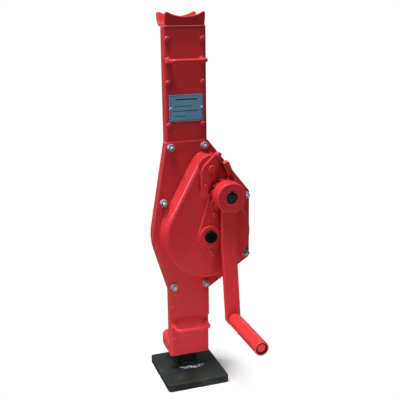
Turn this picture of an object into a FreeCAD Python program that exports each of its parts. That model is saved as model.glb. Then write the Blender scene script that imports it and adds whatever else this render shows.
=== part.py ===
import FreeCAD, Part
import math
import os
import re
import Sketcher
from FreeCAD import Rotation, Vector

# Rack and pinion jack. The rack stands on a foot plate, and the stock climbs it when the crank is turned.
# Millimetres, +Z up, the operator stands on the -Y side. The origin is on the foot plate's underside,
# midway across it and just behind the front of the stock.

SIZES = {
    # Foot plate, and the weld that joins the rack to it
    "plate_width": 126,
    "plate_depth": 139,
    "plate_front": 61,
    "plate_thickness": 16,
    "plate_corner": 6,
    "plate_edge": 2,
    "weld_leg": 8,
    "weld_slope": 40,
    # Rack and the pinion that runs on it
    "rack_width": 44,
    "rack_thickness": 22,
    "rack_gaps": 32,
    "gaps_below_pinion": 2,
    "rack_module": 4,
    "rack_pressure": 25,
    "rack_pinion_teeth": 8,
    "rack_shift": 0.3,
    "rack_addendum": 0.8,
    "rack_dedendum": 1.05,
    "rack_backlash": 0.3,
    "tooth_fillet": 0.7,
    # Stock: two front channels and a back plate in front of the rack, and a rear channel round it
    "column_width": 82,
    "column_front": 6,
    "column_depth": 19,
    "column_bottom": 47.5,
    "column_top": 701,
    "column_sheet": 3,
    "back_plate_thickness": 4,
    "bend_radius": 4.5,
    "channel_overlap": 26,
    "rear_wall": 3,
    "slide_gap": 0.3,
    "tip_room": 1,
    "window_reach": 8,
    "window_half": 23,
    # Proud sheet over the lower channel, with an arched lower edge
    "lower_sheet": 2,
    "lower_sheet_rise": 81.5,
    "arch_rise": 6,
    "arch_radius": 230,
    # Head with its two horned lips
    "head_width": 77,
    "head_height": 28.5,
    "head_floor": 6,
    "lip_thickness": 6,
    "front_flare": 6,
    "rear_flare": 12,
    "bowl_radius": 12,
    "horn_round": 4,
    "lip_fillet": 5,
    "horn_height": 11.5,
    "horn_radius": 71,
    "lip_round": 2,
    # Toe claw
    "claw_width": 80,
    "claw_height": 24.5,
    "claw_reach": 80,
    "claw_corner": 22,
    "claw_rise": 5,
    "claw_edge": 6,
    # Carrying handles of bent rod
    "rod_radius": 4,
    "handle_half": 33,
    "handle_standoff": 26.5,
    "handle_bend": 9,
    "handle_share": 0.52,
    "lower_handle_rise": 66.5,
    # Bare nameplate
    "nameplate_width": 66,
    "nameplate_gap": 1,
    "nameplate_headroom": 16.5,
    "nameplate_thickness": 1,
    "nameplate_corner": 2,
    "pin_half": 30.5,
    "pin_radius": 1.5,
    "pin_head": 2.4,
    "pin_head_height": 1.2,
    # Rivets of the stock
    "rivet_half": 34,
    "rivet_low_margin": 31,
    "rivet_top_margin": 23,
    "rivet_shank": 3.5,
    "rivet_head": 5.6,
    "rivet_head_height": 3.4,
    "dome_share": 0.9,
    "small_rivet_half": 34.5,
    "small_rivet_rise": 36.5,
    "sheet_rivet_share": 0.41,
    "small_rivet_shank": 2.2,
    "small_rivet_head": 3.6,
    "small_rivet_height": 2,
    "spacer_wall": 1.4,
    # Gearbox outline, its walls and the bolts round it
    "bolt_half": 33.5,
    "bolt_top_rise": 173,
    "bolt_bottom_drop": 107,
    "bolt_left_reach": 83,
    "bolt_right_reach": 85.5,
    "bolt_upper_rise": 67,
    "bolt_lower_drop": 53,
    "edge_margin": 10,
    "side_margin": 8.5,
    "corner_above": 8,
    "corner_below": 9,
    "cover_corner": 9,
    "top_corner": 3,
    "bulge_reach": 107.6,
    "bulge_drop": 6,
    "bulge_radius": 105,
    "gearbox_wall": 3,
    "bolt_radius": 4,
    "bolt_head_radius": 5,
    "bolt_head_height": 3.5,
    "bolt_end": 2.5,
    "washer_radius": 7,
    "washer_thickness": 1.4,
    "nut_flats": 13,
    "nut_height": 6.5,
    "nut_chamfer": 0.8,
    # Cover with its drawn pan
    "cover_sheet": 3,
    "rim_round": 1,
    "pan_depth": 25,
    "pan_wall": 3,
    "pan_radius": 93,
    "pan_draft": 16,
    "pan_round": 8,
    "lobe_side": 2,
    "lobe_rise": 130,
    "lobe_radius": 32,
    # Gear train
    "gear_x": 33,
    "gear_z": 307,
    "gear_module": 2.5,
    "gear_teeth": 58,
    "crank_pinion_teeth": 12,
    "gear_pressure": 20,
    "gear_shift": 0.3,
    "gear_root": 1.25,
    "gear_backlash": 0.18,
    "mesh_angle": 68.7,
    "gear_width": 15,
    "gear_back_gap": 14,
    "pinion_overhang": 1,
    "gear_bore": 12,
    "lightening_radius": 11,
    "lightening_circle": 44,
    "lightening_count": 6,
    # Shafts and bushes
    "running_gap": 0.05,
    "end_gap": 0.3,
    "gear_journal": 9,
    "rear_journal": 10,
    "crank_journal": 10,
    "crank_rear_journal": 9,
    "crank_shoulder": 11,
    "bush_wall": 3.5,
    "bush_flange": 3,
    "bush_proud": 1,
    "collar_radius": 21.5,
    "collar_height": 5,
    "cap_radius": 12,
    "cap_height": 4,
    "cap_socket": 5.5,
    "cap_socket_depth": 2.5,
    "cap_edge": 1.2,
    "rack_pinion_gap": 1,
    # Housing round the rack pinion at the back
    "housing_left_reach": 28,
    "housing_right_reach": 31,
    "housing_half": 34,
    "housing_rim": 9,
    "housing_wall": 8,
    "housing_corner": 6,
    "screw_radius": 3,
    "screw_head": 5,
    "screw_head_height": 5,
    "screw_inset": 4.5,
    # Bearing plate on the pan, and what stands on it
    "bearing_plate_thickness": 5,
    "boss_plate_radius": 24,
    "crank_plate_radius": 30,
    "pawl_plate_radius": 25,
    "lug_plate_radius": 9,
    "lug_plate_shift": 4,
    "plate_chamfer": 1,
    "tab_radius": 11,
    "tab_side": 2.5,
    "tab_drop": 32,
    "strap_side": 10.5,
    "strap_rise": 42,
    "strap_rivet_shank": 3.5,
    "strap_rivet_head": 5.4,
    "strap_rivet_height": 3.2,
    "lug_side": 3.2,
    "lug_rise": 51,
    "lug_length": 28,
    "lug_width": 12,
    "lug_angle": 66,
    "lug_height": 10,
    "lug_round": 2,
    "lug_chamfer": 1.2,
    "spring_thickness": 1.2,
    "spring_width": 6,
    "spring_foot": 9,
    "spring_leaf": 11,
    "spring_lean": 1,
    # Ratchet wheel and pawl
    "ratchet_teeth": 12,
    "ratchet_tip": 34,
    "ratchet_root": 28.5,
    "ratchet_land": 4,
    "ratchet_over": 1,
    "ratchet_phase": 176.2,
    "ratchet_thickness": 7,
    "ratchet_gap": 0.7,
    "pawl_side": 29.28,
    "pawl_rise": 52.38,
    "pawl_chamfer": 0.8,
    "pawl_pin_radius": 5,
    "pawl_pin_head": 7,
    "pawl_pin_head_height": 3,
    "pawl_crown_x": 13,
    "pawl_crown_z": 33.3,
    "pawl_back_x": 20.5,
    "pawl_back_z": 1.5,
    "pawl_back_round": 22,
    "pawl_tail_z": 53.9,
    "pawl_heel_x": 9.6,
    "pawl_heel_z": 57.9,
    "pawl_nose_x": 5.1,
    "pawl_nose_z": 50.4,
    "pawl_throat_x": 10.2,
    "pawl_throat_z": 49.6,
    "pawl_waist_x": 7.6,
    "pawl_waist_z": 35,
    "pawl_shoulder_x": 10.5,
    "pawl_shoulder_z": 5,
    "pawl_neck_x": 15,
    "pawl_neck_z": 15,
    "pawl_horn_x": 20.5,
    "pawl_horn_z": 27,
    "pawl_round": 6,
    "pawl_heel_round": 3,
    "pawl_tab_width": 6.5,
    "pawl_tab_height": 24,
    "pawl_tab_step": 3.4,
    "pawl_tab_inset": 4.8,
    "pawl_tab_lift": 1.2,
    "pawl_tab_round": 2.4,
    "knob_x": 13.5,
    "knob_z": 26,
    "knob_radius": 5.2,
    "knob_height": 3.4,
    "knob_stem": 3,
    # Crank
    "hub_radius": 29.2,
    "hub_length": 29.5,
    "hub_chamfer": 2,
    "hub_recess": 11.5,
    "hub_recess_depth": 4,
    "hub_shaft": 8,
    "shaft_recess": 1.2,
    "ring_thickness": 1.8,
    "key_width": 5,
    "key_height": 5,
    "key_length": 18,
    "arm_width": 29,
    "arm_thickness": 12,
    "arm_back_gap": 4.3,
    "arm_bend_drop": 101,
    "arm_bend_radius": 40,
    "arm_lean": 23,
    "arm_end": 14,
    "arm_overlap": 20,
    "arm_edge": 1.5,
    "crank_radius": 240,
    "spindle_radius": 8,
    "spindle_tail": 2,
    "spindle_head": 10.4,
    "spindle_head_length": 3.2,
    "grip_radius": 13.5,
    "grip_length": 130,
    "grip_gap": 3,
    "grip_recess": 11.2,
    "grip_recess_depth": 6.5,
    "grip_chamfer": 1.2,
}

# Places and sizes that follow from the ones above
LAYOUT = {
    "column_half": "column_width / 2",
    "front_y": "-column_front",
    "stock_back_y": "column_depth - column_front",
    "box_back_y": "stock_back_y - back_plate_thickness",
    "web_back_y": "front_y + column_sheet",
    "lower_front_y": "front_y + lower_sheet",
    "lower_back_y": "lower_front_y + column_sheet",
    "rack_front_y": "stock_back_y + slide_gap",
    "rack_back_y": "rack_front_y + rack_thickness",
    "rear_web_y": "rack_back_y + slide_gap",
    "rear_outer_y": "rear_web_y + rear_wall",
    "rack_pitch": "pi * rack_module",
    "rack_pinion_radius": "rack_module * rack_pinion_teeth / 2",
    "rack_pinion_tip": "rack_pinion_radius + rack_module * (rack_addendum + rack_shift)",
    "rack_pinion_root": "rack_pinion_radius - rack_module * (rack_dedendum - rack_shift) + tooth_fillet / 4",
    "rack_pitch_x": "gear_x - rack_pinion_radius - rack_shift * rack_module",
    "rack_tip_x": "rack_pitch_x + rack_addendum * rack_module",
    "rack_root_x": "rack_pitch_x - rack_dedendum * rack_module",
    "rack_left_x": "rack_tip_x - rack_width",
    "rack_top": "column_top - slide_gap",
    "rack_length": "rack_top - plate_thickness",
    "first_gap_z": "gear_z - gaps_below_pinion * rack_pitch",
    "gap_half": "rack_pitch / 4 + rack_backlash / 2",
    "gap_mouth_x": "rack_tip_x + tip_room",
    "gap_mouth": "gap_half + (gap_mouth_x - rack_pitch_x) * tan(rack_pressure)",
    "gap_root": "gap_half - rack_dedendum * rack_module * tan(rack_pressure)",
    "guide_left_x": "rack_left_x - slide_gap",
    "guide_right_x": "rack_tip_x + tip_room",
    "rear_left_x": "guide_left_x - rear_wall",
    "rear_right_x": "guide_right_x + rear_wall",
    "centre_distance": "gear_module * (gear_teeth + crank_pinion_teeth) / 2",
    "crank_x": "gear_x + centre_distance * cos(mesh_angle)",
    "crank_z": "gear_z + centre_distance * sin(mesh_angle)",
    "gear_tip": "gear_module * (gear_teeth / 2 + 1 - gear_shift)",
    "gear_root_radius": "gear_module * (gear_teeth / 2 - gear_root - gear_shift)",
    "crank_pinion_tip": "gear_module * (crank_pinion_teeth / 2 + 1 + gear_shift)",
    "crank_pinion_root": "gear_module * (crank_pinion_teeth / 2 - gear_root + gear_shift)",
    "bolt_top_z": "gear_z + bolt_top_rise",
    "bolt_bottom_z": "gear_z - bolt_bottom_drop",
    "bolt_upper_z": "gear_z + bolt_upper_rise",
    "bolt_lower_z": "gear_z - bolt_lower_drop",
    "bolt_left_x": "gear_x - bolt_left_reach",
    "bolt_right_x": "gear_x + bolt_right_reach",
    "cover_top": "bolt_top_z + edge_margin",
    "cover_bottom": "bolt_bottom_z - edge_margin",
    "cover_right": "bolt_right_x + side_margin",
    "right_top_z": "bolt_upper_z + corner_above",
    "right_low_z": "bolt_lower_z - corner_below",
    "bulge_x": "gear_x - bulge_reach",
    "bulge_z": "gear_z - bulge_drop",
    "rivet_low_z": "cover_top + rivet_low_margin",
    "rivet_top_z": "column_top - rivet_top_margin",
    "rivet_mid_z": "(rivet_low_z + rivet_top_z) / 2",
    "upper_handle_z": "rivet_mid_z + handle_share * (rivet_top_z - rivet_mid_z)",
    "nameplate_bottom": "rivet_low_z + rivet_head + nameplate_gap",
    "nameplate_top": "rivet_mid_z - rivet_head - nameplate_headroom",
    "nameplate_z": "(nameplate_bottom + nameplate_top) / 2",
    "lower_handle_z": "column_bottom + lower_handle_rise",
    "lower_sheet_bottom": "column_bottom + lower_sheet_rise",
    "small_rivet_z": "column_bottom + small_rivet_rise",
    "sheet_rivet_z": "lower_sheet_bottom + sheet_rivet_share * (cover_bottom - lower_sheet_bottom)",
    "upper_channel_bottom": "cover_top - channel_overlap",
    "lower_channel_top": "cover_bottom + channel_overlap",
    "left_run": "-column_half - bulge_x",
    "left_top_drop": "gearbox_wall * (cover_top - bulge_z) / left_run",
    "left_low_drop": "gearbox_wall * (bulge_z - cover_bottom) / left_run",
    "right_run": "cover_right - column_half",
    "right_top_fall": "cover_top - right_top_z",
    "right_low_fall": "right_low_z - cover_bottom",
    "right_top_drop": "gearbox_wall * sqrt(right_run ^ 2 + right_top_fall ^ 2) / right_run",
    "right_low_drop": "gearbox_wall * sqrt(right_run ^ 2 + right_low_fall ^ 2) / right_run",
    "inner_top_z": "right_top_z + gearbox_wall * right_top_fall / right_run - right_top_drop",
    "inner_low_z": "right_low_z - gearbox_wall * right_low_fall / right_run + right_low_drop",
    "cover_front_y": "front_y - cover_sheet",
    "pan_height": "cover_sheet + pan_depth",
    "pan_face_y": "front_y - pan_height",
    "pan_inner_y": "pan_face_y + pan_wall",
    "plate_face_y": "pan_face_y - bearing_plate_thickness",
    "gear_back_y": "box_back_y - gear_back_gap",
    "gear_front_y": "gear_back_y - gear_width",
    "bush_front_y": "pan_inner_y + bush_proud",
    "gear_bush_radius": "gear_journal + bush_wall",
    "rear_bush_radius": "rear_journal + bush_wall",
    "crank_bush_radius": "crank_journal + bush_wall",
    "crank_rear_bush_radius": "crank_rear_journal + bush_wall",
    "collar_face_y": "plate_face_y - collar_height",
    "gear_shaft_front_y": "collar_face_y - end_gap",
    "gear_seat_y": "bush_front_y + end_gap",
    "rack_pinion_front_y": "stock_back_y + rack_pinion_gap",
    "rack_pinion_back_y": "rack_back_y - end_gap",
    "housing_back_y": "rear_outer_y + housing_wall",
    "ratchet_back_y": "plate_face_y - ratchet_gap",
    "ratchet_front_y": "ratchet_back_y - ratchet_thickness",
    "hub_front_y": "ratchet_front_y - hub_length",
    "shaft_front_y": "hub_front_y + shaft_recess",
    "arm_back_y": "ratchet_front_y - arm_back_gap",
    "arm_front_y": "arm_back_y - arm_thickness",
    "spindle_back_y": "arm_back_y - arm_lean + spindle_tail",
    "grip_back_y": "arm_front_y - arm_lean - grip_gap",
    "grip_front_y": "grip_back_y - grip_length",
    "grip_floor_y": "grip_front_y + grip_recess_depth",
    "ratchet_step": "360 / ratchet_teeth - ratchet_land",
    "lobe_x": "gear_x + lobe_side",
    "lobe_z": "gear_z + lobe_rise",
    "tab_x": "gear_x + tab_side",
    "tab_z": "gear_z - tab_drop",
    "strap_rivet_x": "gear_x + strap_side",
    "strap_rivet_z": "gear_z + strap_rise",
    "pawl_x": "crank_x - pawl_side",
    "pawl_z": "crank_z + pawl_rise",
    "lug_x": "crank_x + lug_side",
    "lug_z": "crank_z + lug_rise",
    "lug_plate_x": "lug_x - lug_plate_shift * cos(lug_angle)",
    "lug_plate_z": "lug_z + lug_plate_shift * sin(lug_angle)",
    "housing_left": "gear_x - housing_left_reach",
    "housing_right": "gear_x + housing_right_reach",
    "spring_root": "lug_width / 2 + spring_thickness",
}

doc = FreeCAD.newDocument("rack_and_pinion_jack")
HOME = {alias: "sizes." for alias in SIZES}


def cells(text):
    """Give an expression text with each alias written as a cell of its sheet."""
    return re.sub(r"[a-z][a-z_]+", lambda word: HOME.get(word.group(), "") + word.group(), text)


def make_sheet(name, rows):
    """Make a spreadsheet with one aliased cell for each row."""
    sheet = doc.addObject("Spreadsheet::Sheet", name)
    for row, (alias, content) in enumerate(rows.items(), 1):
        sheet.set(f"A{row}", alias)
        sheet.set(f"B{row}", content)
        sheet.setAlias(f"B{row}", alias)
    return sheet


sizes = make_sheet("sizes", {alias: str(value) for alias, value in SIZES.items()})
layout = make_sheet("layout", {alias: "=" + cells(text) for alias, text in LAYOUT.items()})
HOME.update({alias: "layout." for alias in LAYOUT})
doc.recompute()


def number(text):
    """Give the value of an expression text."""
    return float(layout.evalExpression(cells(text)))


def bind(owner, prop, text):
    """Bind a property to an expression text."""
    owner.setExpression(prop, cells(text))


# Sketches

def new_body(label, x="0", y="0", z="0"):
    """Start a sub-part whose own origin lies at x, y, z."""
    body = doc.addObject("PartDesign::Body", label)
    body.Label = label
    for axis, text in zip("xyz", (x, y, z)):
        bind(body, f"Placement.Base.{axis}", text)
    return body


def sketch_on(body, role, lift="0"):
    """Start a sketch on one of the body's own planes, raised by lift along the plane's normal."""
    sketch = body.newObject("Sketcher::SketchObject", f"{body.Name}_sketch")
    plane = [feature for feature in body.Origin.OriginFeatures if feature.Role == role][0]
    sketch.AttachmentSupport = [(plane, "")]
    sketch.MapMode = "FlatFace"
    bind(sketch, "AttachmentOffset.Base.z", lift)
    return sketch


def constrain(sketch, kind, *arguments, text=None):
    """Add a constraint, bound to an expression where one is given."""
    if text is None:
        sketch.addConstraint(Sketcher.Constraint(kind, *arguments))
    else:
        index = sketch.addConstraint(Sketcher.Constraint(kind, *arguments, number(text)))
        bind(sketch, f"Constraints[{index}]", text)


def fix_point(sketch, geometry, place, x, y):
    """Hold a point of the sketch at x, y from its origin."""
    constrain(sketch, "DistanceX", -1, 1, geometry, place, text=x)
    constrain(sketch, "DistanceY", -1, 1, geometry, place, text=y)


def circle(sketch, x, y, radius):
    """Draw a circle."""
    centre = Vector(number(x), number(y), 0)
    index = sketch.addGeometry(Part.Circle(centre, Vector(0, 0, 1), number(radius)))
    constrain(sketch, "Radius", index, text=radius)
    fix_point(sketch, index, 3, x, y)


def arc_between(centre, start, end):
    """Give the anticlockwise arc about centre from start to end."""
    ends = [math.atan2(point.y - centre.y, point.x - centre.x) for point in (start, end)]
    return Part.ArcOfCircle(Part.Circle(centre, Vector(0, 0, 1), (start - centre).Length), *ends)


def corner_arc(before, corner, after, radius):
    """Give a corner's two tangent points, its arc's centre and whether it turns left."""
    back = (before - corner).normalize()
    ahead = (after - corner).normalize()
    half = back.getAngle(ahead) / 2
    setback = radius / math.tan(half)
    centre = corner + (back + ahead).normalize() * (radius / math.sin(half))
    return corner + back * setback, corner + ahead * setback, centre, back.cross(ahead).z < 0


def outline(sketch, corners, closed=True):
    """Draw straight runs between corners given as x, y and an optional corner radius."""
    points = [Vector(number(corner[0]), number(corner[1]), 0) for corner in corners]
    count = len(points)
    rounded = [len(corner) > 2 for corner in corners]
    arcs = {}
    for i in range(count):
        if rounded[i]:
            arcs[i] = corner_arc(points[i - 1], points[i], points[(i + 1) % count], number(corners[i][2]))
    runs = {}
    for i in range(count if closed else count - 1):
        j = (i + 1) % count
        start = arcs[i][1] if i in arcs else points[i]
        end = arcs[j][0] if j in arcs else points[j]
        runs[i] = sketch.addGeometry(Part.LineSegment(start, end))
    for i in range(count):
        before = runs.get((i - 1) % count)
        after = runs.get(i)
        x, y = corners[i][:2]
        if i not in arcs:
            if before is not None and after is not None:
                constrain(sketch, "Coincident", before, 2, after, 1)
            fix_point(sketch, *((after, 1) if after is not None else (before, 2)), x, y)
            continue
        entry, leave, centre, left = arcs[i]
        ends = (entry, leave) if left else (leave, entry)
        arc = sketch.addGeometry(arc_between(centre, *ends))
        corner = sketch.addGeometry(Part.Point(points[i]), True)
        constrain(sketch, "Tangent", before, 2, arc, 1 if left else 2)
        constrain(sketch, "Tangent", after, 1, arc, 2 if left else 1)
        constrain(sketch, "Radius", arc, text=corners[i][2])
        constrain(sketch, "PointOnObject", corner, 1, before)
        constrain(sketch, "PointOnObject", corner, 1, after)
        fix_point(sketch, corner, 1, x, y)


def rectangle(sketch, left, low, right, high, *radius):
    """Draw a rectangle, with rounded corners where a radius is given."""
    outline(sketch, [(x, y, *radius) for x, y in ((left, low), (right, low), (right, high), (left, high))])


def hull(sketch, first, second):
    """Draw the belt round two circles, each given as x, y and radius."""
    centres = [Vector(number(x), number(y), 0) for x, y, radius in (first, second)]
    radii = [number(ring[2]) for ring in (first, second)]
    span = centres[1] - centres[0]
    heading = math.atan2(span.y, span.x)
    spread = math.acos((radii[0] - radii[1]) / span.Length)

    def touch(i, side):
        angle = heading + side * spread
        return centres[i] + Vector(math.cos(angle), math.sin(angle), 0) * radii[i]

    near = sketch.addGeometry(arc_between(centres[0], touch(0, 1), touch(0, -1)))
    right = sketch.addGeometry(Part.LineSegment(touch(0, -1), touch(1, -1)))
    far = sketch.addGeometry(arc_between(centres[1], touch(1, -1), touch(1, 1)))
    left = sketch.addGeometry(Part.LineSegment(touch(1, 1), touch(0, 1)))
    ring = (near, right, far, left)
    for piece, following in zip(ring, ring[1:] + ring[:1]):
        constrain(sketch, "Tangent", piece, 2, following, 1)
    for arc, (x, y, radius) in ((near, first), (far, second)):
        constrain(sketch, "Radius", arc, text=radius)
        fix_point(sketch, arc, 3, x, y)


def tooth_gap(sketch, module, teeth, pressure, shift, tip, root, thinning, heading):
    """Draw the space between two involute teeth, centred on heading, an angle in degrees."""
    pitch_radius = module * teeth / 2
    base_radius = pitch_radius * math.cos(pressure)
    tooth = module * (math.pi / 2 + 2 * shift * math.tan(pressure)) - thinning

    def involute(angle):
        return math.tan(angle) - angle

    def flank(radius, side):
        slope = math.acos(min(1, base_radius / radius))
        half_tooth = tooth / 2 / pitch_radius + involute(pressure) - involute(slope)
        angle = math.radians(heading) + side * (math.pi / teeth - half_tooth)
        return Vector(math.cos(angle), math.sin(angle), 0) * radius

    start = max(base_radius, root)
    mouth = tip + module / 8
    middle = (start + mouth) / 2
    low, high = (flank(start, side) * (root / start) for side in (-1, 1))
    pieces = [arc_between(Vector(), low, high)]
    for side in (1, -1):
        if root < base_radius:
            pieces.append(Part.LineSegment(flank(start, side) * (root / start), flank(start, side)))
        pieces.append(Part.Arc(flank(start, side), flank(middle, side), flank(mouth, side)))
    pieces.append(arc_between(Vector(), flank(mouth, -1), flank(mouth, 1)))
    for piece in pieces:
        index = sketch.addGeometry(piece)
        sketch.addConstraint(Sketcher.Constraint("Block", index))


# Features

def pad(body, sketch, length, backward=False, both=False, draft=None):
    """Raise a sketch along its plane's normal, backward from it, or to both sides."""
    feature = body.newObject("PartDesign::Pad", f"{body.Name}_pad")
    feature.Profile = sketch
    feature.Reversed = backward
    feature.SideType = "Symmetric" if both else "One side"
    bind(feature, "Length", length)
    if draft:
        bind(feature, "TaperAngle", draft)
    return feature


def pocket(body, sketch, length=None, along=False, draft=None):
    """Cut a sketch right through, or by length along its plane's normal or against it."""
    feature = body.newObject("PartDesign::Pocket", f"{body.Name}_pocket")
    feature.Profile = sketch
    if length is None:
        feature.Type = "ThroughAll"
        feature.SideType = "Symmetric"
    else:
        feature.Reversed = along
        bind(feature, "Length", length)
    if draft:
        bind(feature, "TaperAngle", draft)
    return feature


def revolve(body, corners):
    """Turn a half section, given as radius and y, about the body's own Y axis."""
    sketch = sketch_on(body, "XY_Plane")
    outline(sketch, corners)
    feature = body.newObject("PartDesign::Revolution", f"{body.Name}_turned")
    feature.Profile = sketch
    feature.ReferenceAxis = (sketch, ["V_Axis"])
    feature.Angle = 360
    return feature


def stepped(body, steps, bore="0"):
    """Turn a stepped bar from (radius, end y) steps; the first entry gives only the start y."""
    start = steps[0]
    inner = [(bore, steps[-1][1]), (bore, start)]
    corners = []
    level = start
    for radius, end in steps[1:]:
        corners += [(radius, level), (radius, end)]
        level = end
    return revolve(body, corners + inner)


def round_edges(body, base, radius, test, kind="Fillet"):
    """Round or chamfer the edges of a feature that pass a test."""
    doc.recompute()
    names = [f"Edge{i}" for i, edge in enumerate(base.Shape.Edges, 1) if test(edge)]
    feature = body.newObject(f"PartDesign::{kind}", f"{body.Name}_{kind.lower()}")
    feature.Base = (base, names)
    bind(feature, "Radius" if kind == "Fillet" else "Size", radius)
    return feature


def lies_at(axis, place):
    """Give a test for edges that lie in the plane where a coordinate has a value."""
    def test(edge):
        box = edge.BoundBox
        low, high = getattr(box, f"{axis}Min"), getattr(box, f"{axis}Max")
        return abs(low - place) < 0.01 and abs(high - place) < 0.01
    return test


def ring_pattern(body, feature, count, axis="Y_Axis"):
    """Repeat a feature round one of the body's axes."""
    pattern = body.newObject("PartDesign::PolarPattern", f"{body.Name}_ring")
    pattern.Originals = [feature]
    origin_axis = [item for item in body.Origin.OriginFeatures if item.Role == axis][0]
    pattern.Axis = (origin_axis, [""])
    pattern.Angle = 360
    bind(pattern, "Occurrences", count)
    body.Tip = pattern
    return pattern


def holes(body, places, radius):
    """Cut round holes right through along Y at (x, z) places."""
    sketch = sketch_on(body, "XZ_Plane")
    for x, z in places:
        circle(sketch, x, z, radius)
    return pocket(body, sketch)


def discs(body, places, radius, length, backward=False, bore=None, lift="0"):
    """Pad round discs along Y at (x, z) places."""
    sketch = sketch_on(body, "XZ_Plane", lift)
    for x, z in places:
        circle(sketch, x, z, radius)
        if bore:
            circle(sketch, x, z, bore)
    return pad(body, sketch, length, backward)


RIVETS = [
    (x, z)
    for z in ("rivet_low_z", "rivet_mid_z", "rivet_top_z")
    for x in ("-rivet_half", "rivet_half")
]
TOP_BOLTS = [(x, "bolt_top_z") for x in ("-bolt_half", "bolt_half")]
BOTTOM_BOLTS = [(x, "bolt_bottom_z") for x in ("-bolt_half", "bolt_half")]
SIDE_BOLTS = [
    ("bolt_left_x", "bolt_upper_z"),
    ("bolt_right_x", "bolt_upper_z"),
    ("bolt_right_x", "bolt_lower_z"),
]
BOLTS = TOP_BOLTS + BOTTOM_BOLTS + SIDE_BOLTS
SMALL_RIVETS = [(x, "small_rivet_z") for x in ("-small_rivet_half", "small_rivet_half")]
SHEET_RIVET = [("-small_rivet_half", "sheet_rivet_z")]
NAME_PINS = [(x, "nameplate_z") for x in ("-pin_half", "pin_half")]
STRAP_RIVETS = [("strap_rivet_x", "strap_rivet_z"), ("tab_x", "tab_z")]
GEAR_AXIS = ("gear_x", "gear_z")
CRANK_AXIS = ("crank_x", "crank_z")
PAWL_AXIS = ("pawl_x", "pawl_z")


def handle_feet(z):
    """Give the two places where a handle enters the sheet."""
    return [(x, z) for x in ("-handle_half", "handle_half")]


def gearbox_sides(corner):
    """Give the gearbox outline: down its bulged left side, then up its right side."""
    left = [
        ("-column_half", "cover_top", *corner),
        ("bulge_x", "bulge_z", "bulge_radius"),
        ("-column_half", "cover_bottom", *corner),
    ]
    right = [
        ("column_half", "cover_bottom", *corner),
        ("cover_right", "right_low_z", "cover_corner"),
        ("cover_right", "right_top_z", "cover_corner"),
        ("column_half", "cover_top", *corner),
    ]
    return left, right


# Foot

def make_base_plate():
    """Thick steel foot with rounded corners and worn edges."""
    body = new_body("base_plate")
    sketch = sketch_on(body, "XY_Plane")
    rectangle(sketch, "-plate_width / 2", "-plate_front", "plate_width / 2", "plate_depth - plate_front",
              "plate_corner")
    slab = pad(body, sketch, "plate_thickness")
    top = lies_at("Z", number("plate_thickness"))
    bottom = lies_at("Z", 0)
    round_edges(body, slab, "plate_edge", lambda edge: top(edge) or bottom(edge))


def make_rack():
    """Bar with straight-flanked teeth along its right edge; its plain lower end stands on the foot."""
    body = new_body("rack", z="plate_thickness")
    sketch = sketch_on(body, "XY_Plane")
    rectangle(sketch, "rack_left_x", "rack_front_y", "rack_tip_x", "rack_back_y")
    pad(body, sketch, "rack_length")
    sketch = sketch_on(body, "XZ_Plane")
    middle = "first_gap_z - plate_thickness"
    outline(sketch, [
        ("gap_mouth_x", f"{middle} - gap_mouth"),
        ("gap_mouth_x", f"{middle} + gap_mouth"),
        ("rack_root_x", f"{middle} + gap_root", "tooth_fillet"),
        ("rack_root_x", f"{middle} - gap_root", "tooth_fillet"),
    ])
    gap = pocket(body, sketch)
    row = body.newObject("PartDesign::LinearPattern", "rack_row")
    row.Originals = [gap]
    upward = [item for item in body.Origin.OriginFeatures if item.Role == "Z_Axis"][0]
    row.Direction = (upward, [""])
    bind(row, "Length", "(rack_gaps - 1) * rack_pitch")
    bind(row, "Occurrences", "rack_gaps")
    body.Tip = row


def make_foot_weld():
    """Fillet weld round the foot of the rack."""
    body = new_body("foot_weld", z="plate_thickness")
    sketch = sketch_on(body, "XY_Plane")
    rectangle(sketch, "rack_left_x - weld_leg", "rack_front_y - weld_leg",
              "rack_tip_x + weld_leg", "rack_back_y + weld_leg", "weld_leg")
    pad(body, sketch, "weld_leg", draft="-weld_slope")
    sketch = sketch_on(body, "XY_Plane")
    rectangle(sketch, "rack_left_x", "rack_front_y", "rack_tip_x", "rack_back_y")
    pocket(body, sketch)


# Stock

def make_back_plate():
    """Full-height plate between the gearbox and the rack."""
    body = new_body("back_plate", y="box_back_y")
    left, right = gearbox_sides(())
    sketch = sketch_on(body, "XZ_Plane")
    outline(sketch, [("-column_half", "column_top")] + left + [
        ("-column_half", "column_bottom"),
        ("column_half", "column_bottom"),
    ] + right + [("column_half", "column_top")])
    pad(body, sketch, "back_plate_thickness", backward=True)
    holes(body, BOLTS, "bolt_radius")
    holes(body, RIVETS, "rivet_shank")
    holes(body, [GEAR_AXIS], "gear_bore + end_gap")
    holes(body, [CRANK_AXIS], "crank_rear_bush_radius")


def channel_section(sketch, front, back):
    """Draw a sheet channel that is open at the back."""
    half = "column_half"
    inner = "column_half - column_sheet"
    bend = "bend_radius"
    outline(sketch, [
        (f"-{half}", back), (f"-{half}", front, bend), (half, front, bend), (half, back), (inner, back),
        (inner, f"{front} + column_sheet", f"{bend} - column_sheet"),
        (f"-({inner})", f"{front} + column_sheet", f"{bend} - column_sheet"), (f"-({inner})", back),
    ])


def make_upper_channel():
    """Front channel of the stock above the gearbox."""
    body = new_body("upper_channel")
    sketch = sketch_on(body, "XY_Plane", "upper_channel_bottom")
    channel_section(sketch, "front_y", "box_back_y")
    pad(body, sketch, "column_top - upper_channel_bottom")
    holes(body, RIVETS, "rivet_shank")
    holes(body, TOP_BOLTS, "bolt_radius")
    holes(body, NAME_PINS, "pin_radius")
    holes(body, handle_feet("upper_handle_z"), "rod_radius")


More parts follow.
